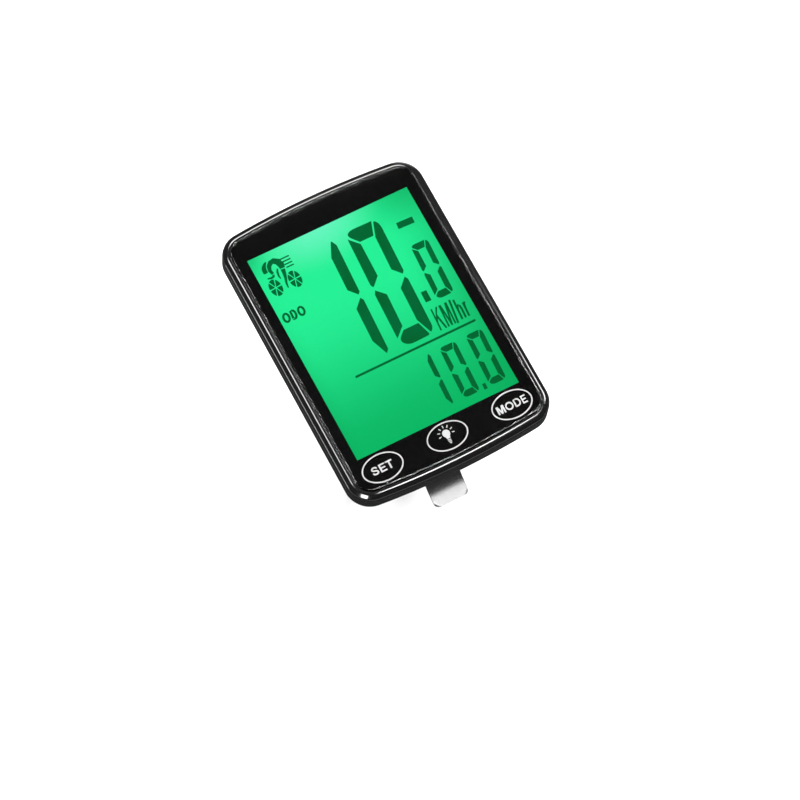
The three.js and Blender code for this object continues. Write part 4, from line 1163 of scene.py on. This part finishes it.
# Places here are in the whole model's frame, in millimetres.
backSizes = {
    "inset": 0.35,
    "top": 27.05,
    "waist": 26.4,
    "taper": 3.5,
    "face": 18.4,
    "belly": 0.9,
    "tongue": (1.9, 28.1),
    "cavity": (2.7, 2.2, 19.8),
    "cell": (0, 22.7),
    "recess": (12.35, 19.55),
    "ledge": (11.2, 20.35),
    "groove": (12.3, 21.1),
    "bore": 10.35,
    "wellOuter": 13.45,
    "wellTop": 22.6,
    "notchTurn": 45,
    "notchWide": 30,
    "channel": (4.6, -26.9, -9.4, 20.0),
    "keeper": (-14.95, -13.65),
    "screwPlace": (9.2, -20.1),
    "screwWell": (1.9, 21.6, 2.5, 22.2, 1.1),
    "index": {"turns": (90, 45), "outline": [(13.1, 0), (14.3, 0.62), (14.3, -0.62)], "depth": 0.2},
    "ear": {"wall": (12.8, 14.6), "lip": 10.8, "levels": (14.9, 16.1), "rows": (-15.7, 10.8), "stop": 9.3},
}


def toModel(piece):
    piece.location = headPlace
    return applyPlace(piece)


def taperedBlank(name, inset, top, waist, taper, low):
    rim = headPlace.z
    piece = bowedBlank(name, inset, waist - rim, top - rim)
    insetFace(piece, bottomFace(piece), taper, waist - low)
    return toModel(piece)


def sectorCut(radius, turn, wide, low, high, middle):
    points = [(0, 0)]
    for i in range(9):
        angle = math.radians(turn - wide / 2 + wide * i / 8)
        points.append((radius * math.cos(angle), radius * math.sin(angle)))
    return flatShape("sector", [points], (low, high), middle)


def slideEar(sizes, side):
    near, outer = sizes["wall"]
    low, lipTop = sizes["levels"]
    rear, front = sizes["rows"]
    face = backSizes["face"] + 0.4
    outline = [(near, face), (near, lipTop), (sizes["lip"], lipTop), (sizes["lip"], low + 0.35),
               (sizes["lip"] + 0.35, low), (outer - 0.5, low), (outer, low + 0.5), (outer, face - 0.7),
               (outer + 0.3, face)]
    rail = flatShape("ear", [outline], (rear, front))
    rail.rotation_euler = (math.pi / 2, 0, 0)
    rail.location = (0, rear + front, 0)
    applyPlace(rail)
    joinOn(rail, block("stop", (sizes["lip"], sizes["stop"], low + 0.2), (near + 0.5, front, face)))
    if side > 0:
        return rail
    twin = copyPiece(rail, "earLeft", mirror=True)
    bpy.data.objects.remove(rail)
    return twin


def backCase(sizes):
    args = (sizes["inset"], sizes["top"], sizes["waist"], sizes["taper"], sizes["face"])
    piece = taperedBlank("backCase", *args)
    bevelEdges(piece, sharpAt(sizes["face"], reach=0.05), sizes["belly"], 5)
    limit = copyPiece(piece, "limit")
    tongueInset, tongueTop = sizes["tongue"]
    joinOn(piece, toModel(bowedBlank("tongue", tongueInset, 26 - headPlace.z, tongueTop - headPlace.z)))
    inset, taper, floor = sizes["cavity"]
    cutAway(piece, taperedBlank("cavity", inset, tongueTop + 1, sizes["waist"], taper, floor))
    x, y = sizes["cell"]
    half, rear, front, roof = sizes["channel"]
    extras = [
        rod("well", sizes["wellOuter"], (x, y, 19), (x, y, sizes["wellTop"]), 96),
        block("roof", (-half - 1, rear - 1, 19), (half + 1, front + 1, roof + 0.9)),
    ]
    recess, seat, outer, wellTop, bore = sizes["screwWell"]
    for side in (-1, 1):
        sx, sy = side * sizes["screwPlace"][0], sizes["screwPlace"][1]
        extras.append(rod("screwWall", outer, (sx, sy, 19), (sx, sy, wellTop), 48))
    for extra in extras:
        joinOn(piece, keepInside(extra, copyPiece(limit, "inside")))
    bpy.data.objects.remove(limit)
    cuts = [
        rod("recess", sizes["recess"][0], (x, y, 17), (x, y, sizes["recess"][1]), 96),
        rod("ledge", sizes["ledge"][0], (x, y, 19), (x, y, sizes["ledge"][1] + 0.1), 96),
        rod("groove", sizes["groove"][0], (x, y, sizes["ledge"][1]), (x, y, sizes["groove"][1]), 96),
        rod("cellBore", sizes["bore"], (x, y, 20.5), (x, y, 24), 96),
        block("contactSlot", (9, y - 2.2, 21.5), (13.2, y + 2.2, 24)),
    ]
    for i in range(3):
        turn = sizes["notchTurn"] + 120 * i
        cuts.append(sectorCut(sizes["groove"][0], turn, sizes["notchWide"], 19.3, 20.5, (x, y)))
    keeperRear, keeperFront = sizes["keeper"]
    cuts.append(block("channelRear", (-half, rear - 1, 17), (half, keeperRear, roof)))
    cuts.append(block("channelFront", (-half, keeperFront, 17), (half, front, roof)))
    for side in (-1, 1):
        sx, sy = side * sizes["screwPlace"][0], sizes["screwPlace"][1]
        cuts.append(rod("screwRecess", recess, (sx, sy, 17), (sx, sy, seat), 48))
        cuts.append(rod("screwBore", bore, (sx, sy, 20), (sx, sy, 24), 32))
    # two index triangles beside the cap, for locked and free
    index = sizes["index"]
    for turn in index["turns"]:
        angle = math.radians(turn)
        turned = [
            (px * math.cos(angle) - py * math.sin(angle), px * math.sin(angle) + py * math.cos(angle))
            for px, py in index["outline"]
        ]
        cuts.append(flatShape("index", [turned], (17, sizes["face"] + index["depth"]), (x, y)))
    cutAway(piece, *cuts)
    joinOn(piece, slideEar(sizes["ear"], 1), slideEar(sizes["ear"], -1))
    return piece


finishPiece(backCase(backSizes), finishes["satin"], "head", ["back_housing"])
print("back case")

# The battery cap and the screws

capSizes = {
    "middle": (0, 22.7),
    "face": 18.5,
    "flange": (12.1, 19.5),
    "hub": 10.95,
    "sealGroove": (10.35, 19.6, 20.35),
    "top": 20.9,
    "lugs": (11.95, 20.4, 24),
    "slot": (13, 1.9, 0.7),
    "dish": (1.5, 0.25, 0.18),
    "grips": {"count": 36, "gap": range(7, 12), "radius": 11.05, "half": (0.32, 0.13), "depth": 0.16},
    "pointer": {"half": 0.6, "rows": (10.75, 11.6), "depth": 0.2},
}

screwSizes = {
    "place": (9.2, -20.1),
    "seat": 21.55,
    "head": (1.6, 1.15),
    "shank": (0.9, 7.15),
    "pitch": 0.6,
    "cross": (1.0, 0.2, 0.6),
    "turn": 0.35,
}
rivetSizes = {
    "place": (2.2, 7.8),
    "head": (1.7, 17.3, 17.9),
    "shank": (0.95, 14.7),
    "dimple": (0.45, 0.2, 0.12),
}


def batteryCap(sizes):
    x, y = sizes["middle"]
    radius, flangeTop = sizes["flange"]
    piece = rod("batteryCap", radius, (x, y, sizes["face"]), (x, y, flangeTop), 120)
    bevelEdges(piece, sharpAt(sizes["face"]), 0.3, 4)
    rim, slope, depth = sizes["dish"]
    insetFace(piece, bottomFace(piece), rim)
    insetFace(piece, innerDisc(bottomFace(piece)), slope, -depth)
    hub = rod("hub", sizes["hub"], (x, y, flangeTop - 0.2), (x, y, sizes["top"]), 96)
    grooveRadius, low, high = sizes["sealGroove"]
    outside = rod("outside", sizes["hub"] + 1, (x, y, low), (x, y, high), 96)
    inside = rod("inside", grooveRadius, (x, y, low - 1), (x, y, high + 1), 96)
    cutAway(hub, cutAway(outside, inside))
    joinOn(piece, hub)
    lugRadius, lugLow, wide = sizes["lugs"]
    for i in range(3):
        joinOn(piece, sectorCut(lugRadius, 90 + 120 * i, wide, lugLow, sizes["top"], (x, y)))
    length, width, deep = sizes["slot"]
    floor = sizes["face"] + deep
    slot = block("coinSlot", (x - length / 2, y - width / 2, 17), (x + length / 2, y + width / 2, floor))
    bevelEdges(slot, isUpright, width * 0.45, 6)
    bevelEdges(slot, sharpAt(floor), 0.2, 3)
    cutAway(piece, slot)
    # finger grips round the dish, with a pointer in their gap
    grips = sizes["grips"]
    halfLength, halfWidth = grips["half"]
    for i in range(grips["count"]):
        if i in grips["gap"]:
            continue
        angle = math.radians(360 / grips["count"] * i)
        top = sizes["face"] + grips["depth"]
        grip = block("grip", (-halfLength, -halfWidth, 17), (halfLength, halfWidth, top))
        grip.rotation_euler = (0, 0, angle)
        grip.location = (x + grips["radius"] * math.cos(angle), y + grips["radius"] * math.sin(angle), 0)
        cutAway(piece, applyPlace(grip))
    pointer = sizes["pointer"]
    half, (near, far) = pointer["half"], pointer["rows"]
    outline = [(x - half, y + near), (x + half, y + near), (x, y + far)]
    cutAway(piece, flatShape("pointer", [outline], (17, sizes["face"] + pointer["depth"])))
    return piece


def caseScrew(sizes):
    x, y = sizes["place"]
    seat = sizes["seat"]
    radius, height = sizes["head"]
    piece = rod("caseScrewRight", radius, (x, y, seat - height), (x, y, seat), 48)
    bevelEdges(piece, sharpAt(seat - height), 0.45, 5)
    shank, length = sizes["shank"]
    core = rod("core", shank * 0.8, (x, y, seat - 0.2), (x, y, seat + length), 32)
    bevelEdges(core, sharpAt(seat + length), 0.4, 3)
    joinOn(piece, core)
    for i in range(int((length - 1.2) / sizes["pitch"])):
        level = seat + 0.5 + i * sizes["pitch"]
        crest = rod("crest", shank, (x, y, level), (x, y, level + 0.36), 32)
        bevelEdges(crest, lambda edge: isSharp(edge, 0.8), 0.14, 1)
        joinOn(piece, crest)
    low = seat - height
    reach, half, deep = sizes["cross"]
    for angle in (sizes["turn"], sizes["turn"] + math.pi / 2):
        cross = block("cross", (-reach, -half, -1), (reach, half, deep))
        bevelEdges(cross, sharpAt(deep), 0.12, 2)
        cross.rotation_euler = (0, 0, angle)
        cross.location = (x, y, low)
        cutAway(piece, applyPlace(cross))
    return piece


def springRivet(sizes):
    x, y = sizes["place"]
    radius, low, high = sizes["head"]
    piece = rod("springRivetRight", radius, (x, y, low), (x, y, high), 48)
    bevelEdges(piece, sharpAt(high), 0.4, 5)
    rim, slope, depth = sizes["dimple"]
    insetFace(piece, topFace(piece), rim)
    insetFace(piece, innerDisc(topFace(piece)), slope, -depth)
    shank, bottom = sizes["shank"]
    return joinOn(piece, rod("shank", shank, (x, y, bottom), (x, y, low + 0.2), 32))


finishPiece(batteryCap(capSizes), finishes["satin"], "battery_cap", ["battery_cap"])
rightScrew = caseScrew(screwSizes)
leftScrew = copyPiece(rightScrew, "caseScrewLeft", (-2 * screwSizes["place"][0], 0, 0))
finishPiece(rightScrew, finishes["screw"], "head", ["case_screw_right"])
finishPiece(leftScrew, finishes["screw"], "head", ["case_screw_left"])
rightRivet = springRivet(rivetSizes)
leftRivet = copyPiece(rightRivet, "springRivetLeft", (-2 * rivetSizes["place"][0], 0, 0))
finishPiece(rightRivet, finishes["screw"], "bracket", ["spring_rivet_right"])
finishPiece(leftRivet, finishes["screw"], "bracket", ["spring_rivet_left"])
print("battery cap, screws and rivets")

# The bracket, its pad and the cable ties

bracketSizes = {
    "block": (10.5, -16, 14, 7, 18),
    "flange": (12.5, -16, 9, 16.4, 18),
    "saddle": 14.6,
    "recess": (4.6, -17, 11.4, 16.35),
    "tie": (7.6, 2.0, 16.4, 1.0),
    "rivetHole": (2.2, 7.8, 1.0, 14.6),
    "pocket": {"place": 2.4, "half": 1.7, "depth": 1.2, "below": 3.4, "above": 2.6},
}

# the outer face is an arc from start degrees to the same angle on the other side
padSizes = {
    "radii": (12.7, 14.3),
    "start": 33,
    "half": 10.2,
    "ribs": 19,
    "groove": 0.28,
    "grooveShape": ((0.0, 0), (0.55, 0), (0.65, 1), (0.9, 1)),
    "edge": 0.08,
}

tieSizes = {
    "place": 7.6,
    "width": 3.6,
    "thick": 1.2,
    "edge": 0.18,
    "corner": 1.0,
    "loop": 12.85,
    "front": 13.15,
    "rear": -15.15,
    "under": 16.55,
    "knee": 7.3,
    "head": (5.4, 5.0, 4.4),
    "turn": -28,
    "near": 12.95,
    "entry": (0.25, 0.85, 1.2),
    "tail": 5.0,
    "tooth": 0.55,
}


def bracketBase(sizes):
    half, rear, front, low, high = sizes["block"]
    outline = softOutline([(rear, low, 0.8), (front, low, 0.5), (front, high - 1.2, 0.5),
                           (front - 1.2, high, 0.4), (rear + 0.6, high, 0.2), (rear, high - 0.6, 0.2)])
    piece = sideShape("bracketBase", [outline], (-half, half), 0.25)
    wide, flangeRear, flangeFront, flangeLow, flangeHigh = sizes["flange"]
    flange = block("flange", (-wide, flangeRear + 0.02, flangeLow), (wide, flangeFront, flangeHigh - 0.02))
    bevelEdges(flange, isUpright, 0.7, 4)
    bevelEdges(flange, lambda edge: isSharp(edge, 0.6), 0.18, 2)
    joinOn(piece, flange)
    cutAway(piece, rod("saddle", sizes["saddle"], (-20, 0, 0), (20, 0, 0), 160))
    recess, recessRear, recessFront, floor = sizes["recess"]
    cut = block("recess", (-recess, recessRear, floor), (recess, recessFront, 20))
    bevelEdges(cut, isUpright, 0.6, 4)
    cutAway(piece, cut)
    place, tieHalf, tieFloor, notch = sizes["tie"]
    for x in (-place, place):
        cutAway(piece, block("tieGroove", (x - tieHalf, rear - 1, tieFloor), (x + tieHalf, front + 1, 20)))
        cutAway(piece, block("rearNotch", (x - tieHalf, rear - 1, 0), (x + tieHalf, rear + notch, 20)))
        cutAway(piece, block("frontNotch", (x - tieHalf, front - notch, 0), (x + tieHalf, front + 1, 20)))
    rx, ry, radius, bottom = sizes["rivetHole"]
    for x in (-rx, rx):
        cutAway(piece, rod("rivetHole", radius, (x, ry, bottom), (x, ry, 20), 32))
    # coring pockets in the front face, as a moulding has
    core = sizes["pocket"]
    bottom, top = low + core["above"], high - core["below"]
    for x in (-core["place"], core["place"]):
        left, right = x - core["half"], x + core["half"]
        cut = block("pocket", (left, front - core["depth"], bottom), (right, front + 1, top))
        bevelEdges(cut, lambda edge: isSharp(edge, 0.6), 0.3, 3)
        cutAway(piece, cut)
    return piece


def barPad(sizes):
    inner, outer = sizes["radii"]
    start, end = math.radians(sizes["start"]), math.radians(180 - sizes["start"])
    outline = []
    for i in range(61):
        angle = start + (end - start) * i / 60
        outline.append((outer * math.cos(angle), outer * math.sin(angle)))
    ribs = sizes["ribs"]
    for i in range(ribs):
        for share, depth in sizes["grooveShape"]:
            angle = end - (end - start) * (i + share) / ribs
            reach = inner + sizes["groove"] * depth
            outline.append((reach * math.cos(angle), reach * math.sin(angle)))
    outline.append((inner * math.cos(start), inner * math.sin(start)))
    return sideShape("barPad", [outline], (-sizes["half"], sizes["half"]), sizes["edge"])


def hull(points):
    points = sorted(set(points))

    def half(sequence):
        chain = []
        for p in sequence:
            while len(chain) > 1 and (
                (chain[-1][0] - chain[-2][0]) * (p[1] - chain[-2][1])
                - (chain[-1][1] - chain[-2][1]) * (p[0] - chain[-2][0])
            ) <= 0:
                chain.pop()
            chain.append(p)
        return chain[:-1]

    return half(points) + half(points[::-1])


def tieOutline(sizes, grow):
    def arc(middle, radius, steps):
        return [
            (middle[0] + radius * math.cos(2 * math.pi * i / steps),
             middle[1] + radius * math.sin(2 * math.pi * i / steps))
            for i in range(steps)
        ]

    corner = sizes["corner"]
    points = arc((0, 0), sizes["loop"] + grow, 120)
    for y, inward in ((sizes["front"], -1), (sizes["rear"], 1)):
        points += arc((y + inward * corner, sizes["under"] - corner), corner + grow, 32)
        points += arc((y + inward * corner, sizes["knee"]), corner + grow, 32)
    return hull([(round(a, 5), round(b, 5)) for a, b in points])


def cableTie(sizes):
    x, half = sizes["place"], sizes["width"] / 2
    outlines = [tieOutline(sizes, sizes["thick"]), tieOutline(sizes, 0)]
    piece = sideShape("cableTieRight", outlines, (x - half, x + half), sizes["edge"])
    width, length, height = sizes["head"]
    near = sizes["near"]
    head = block("head", (-width / 2, -length / 2, near), (width / 2, length / 2, near + height))
    bevelEdges(head, sharpAt(near + height), 0.7, 4)
    bevelEdges(head, lambda edge: isSharp(edge, 0.6), 0.3, 3)
    middle = near + height * 0.6
    entry, tall, deep = sizes["entry"]
    mouth = (half + entry, -length / 2 + deep, middle + tall)
    cutAway(head, block("window", (-half - entry, -length, middle - tall), mouth))
    pawl = block("pawl", (-half + 0.5, -length / 2 + 0.4, near + height - 0.9),
                 (half - 0.5, length / 2 - 1.4, near + height + 1))
    bevelEdges(pawl, isUpright, 0.35, 3)
    cutAway(head, pawl)
    thin, reach = sizes["thick"] / 2, length / 2 + sizes["tail"]
    tailOutline = [(length / 2 - 1, middle + thin), (length / 2 - 1, middle - thin)]
    count = int((sizes["tail"] - 1.2) / sizes["tooth"])
    for i in range(count):
        row = length / 2 + 0.2 + i * sizes["tooth"]
        tailOutline += [(row, middle - thin), (row + sizes["tooth"] * 0.8, middle - thin + 0.3)]
    tailOutline += [(reach - 0.8, middle - thin + 0.15), (reach, middle - 0.15), (reach, middle + 0.15),
                    (reach - 0.5, middle + thin)]
    tail = sideShape("tail", [tailOutline], (-half, half))

    def isTailCorner(edge):
        return all(v.co.y > reach - 0.01 for v in edge.verts) and edge.calc_length() < 0.5

    bevelEdges(tail, isTailCorner, 0.8, 4)
    for part in (head, tail):
        part.rotation_euler = (math.radians(sizes["turn"] - 90), 0, 0)
        part.location = (x, 0, 0)
        applyPlace(part)
        joinOn(piece, part)
    return piece


finishPiece(bracketBase(bracketSizes), finishes["bracket"], "bracket", ["bracket_base"])
finishPiece(barPad(padSizes), finishes["rubber"], "bracket", ["bar_pad"])
rightTie = cableTie(tieSizes)
leftTie = copyPiece(rightTie, "cableTieLeft", (-2 * tieSizes["place"], 0, 0))
finishPiece(rightTie, finishes["nylon"], "bracket", ["cable_tie_right"])
finishPiece(leftTie, finishes["nylon"], "bracket", ["cable_tie_left"])
print("bracket, pad and cable ties")

# The release spring: riveted at one end, a bright tab at the other

springSizes = {
    "half": 4.2,
    "thick": 0.5,
    "level": 17.0,
    "clamp": 11.0,
    "flex": (4.4, 3.0),
    "line": [(-10.2, 17), (-12, 19.3), (-12.9, 19.3), (-13.1, 17), (-16.9, 17), (-18.2, 16),
             (-19.2, 10.4), (-22.1, 7.7), (-26.5, 6.1)],
    "bend": [0.9, 0.45, 0.45, 0.8, 0.6, 0.8, 1.4, 2.3],
    "corner": 1.3,
    "edge": 0.09,
}


def springPath(sizes):
    level = sizes["level"]
    points = [(sizes["clamp"], level)]
    start, end = sizes["flex"]
    points += [(start + 1 - i * (start - end + 2) / 16, level) for i in range(17)]
    line = sizes["line"]
    corners = [(*point, bend) for point, bend in zip(line[:-1], sizes["bend"])]
    rounded = softOutline([(points[-1][0], level), *corners, line[-1]], 6)
    points += rounded[1:]
    last, before = Vector(rounded[-1]), Vector(line[-2])
    return points[:-1] + [tuple(before.lerp(last, 0.7)), tuple(last)]


def releaseSpring(sizes):
    outline = ribbon(springPath(sizes), [sizes["thick"]])
    piece = sideShape("releaseSpring", [outline], (-sizes["half"], sizes["half"]))
    tip = min(v.co.y for v in piece.data.vertices)

    def isTipCorner(edge):
        a, b = (v.co for v in edge.verts)
        return max(a.y, b.y) < tip + 0.4 and abs(a.x - b.x) < 0.01 and abs(a.z - b.z) > 0.3

    bevelEdges(piece, isTipCorner, sizes["corner"], 7)
    softenEdges(piece, sizes["edge"], 2, 50)
    return piece


springPiece = releaseSpring(springSizes)
closeMesh(springPiece)
springPiece.scale = (millimetre,) * 3
applyPlace(springPiece)
smoothFaces(springPiece)
springPiece.data.materials.append(finishes["spring"])
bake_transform(springPiece)
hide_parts("release_spring_clamp", "release_spring_tab")
print("release spring")

# The remaining nodes and their finishes

nodeFinishes = {
    "rubber": ["case_seal", "lcd_connector_strip", "battery_cap_seal"],
    "tape": ["lens_adhesive"],
    "glow": ["lcd_front_polariser"],
    "glass": ["lcd_front_glass", "lcd_rear_glass"],
    "film": ["lcd_rear_polariser", "diffuser_sheet"],
    "whitePlastic": ["display_frame", "reflector_sheet"],
    "guide": ["light_guide"],
    "lamp": ["backlight_lamp_left", "backlight_lamp_right"],
    "board": ["main_board"],
    "contact": ["touch_spring_set", "touch_spring_light", "touch_spring_mode",
                "battery_contact_plus", "battery_contact_minus"],
    "epoxy": ["controller_blob", "receiver_chip", "storage_capacitor"],
    "cell": ["timing_crystal", "coin_cell_can", "coin_cell_lid"],
    "ferrite": ["receiver_coil_core"],
    "copper": ["receiver_coil_winding"],
    "nylon": ["coin_cell_gasket"],
    "screw": ["board_screw_left", "board_screw_right"],
}
for finishName, nodes in nodeFinishes.items():
    for node in nodes:
        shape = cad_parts[node]
        shape.data.materials.clear()
        shape.data.materials.append(finishes[finishName])
print("materials of the remaining nodes")
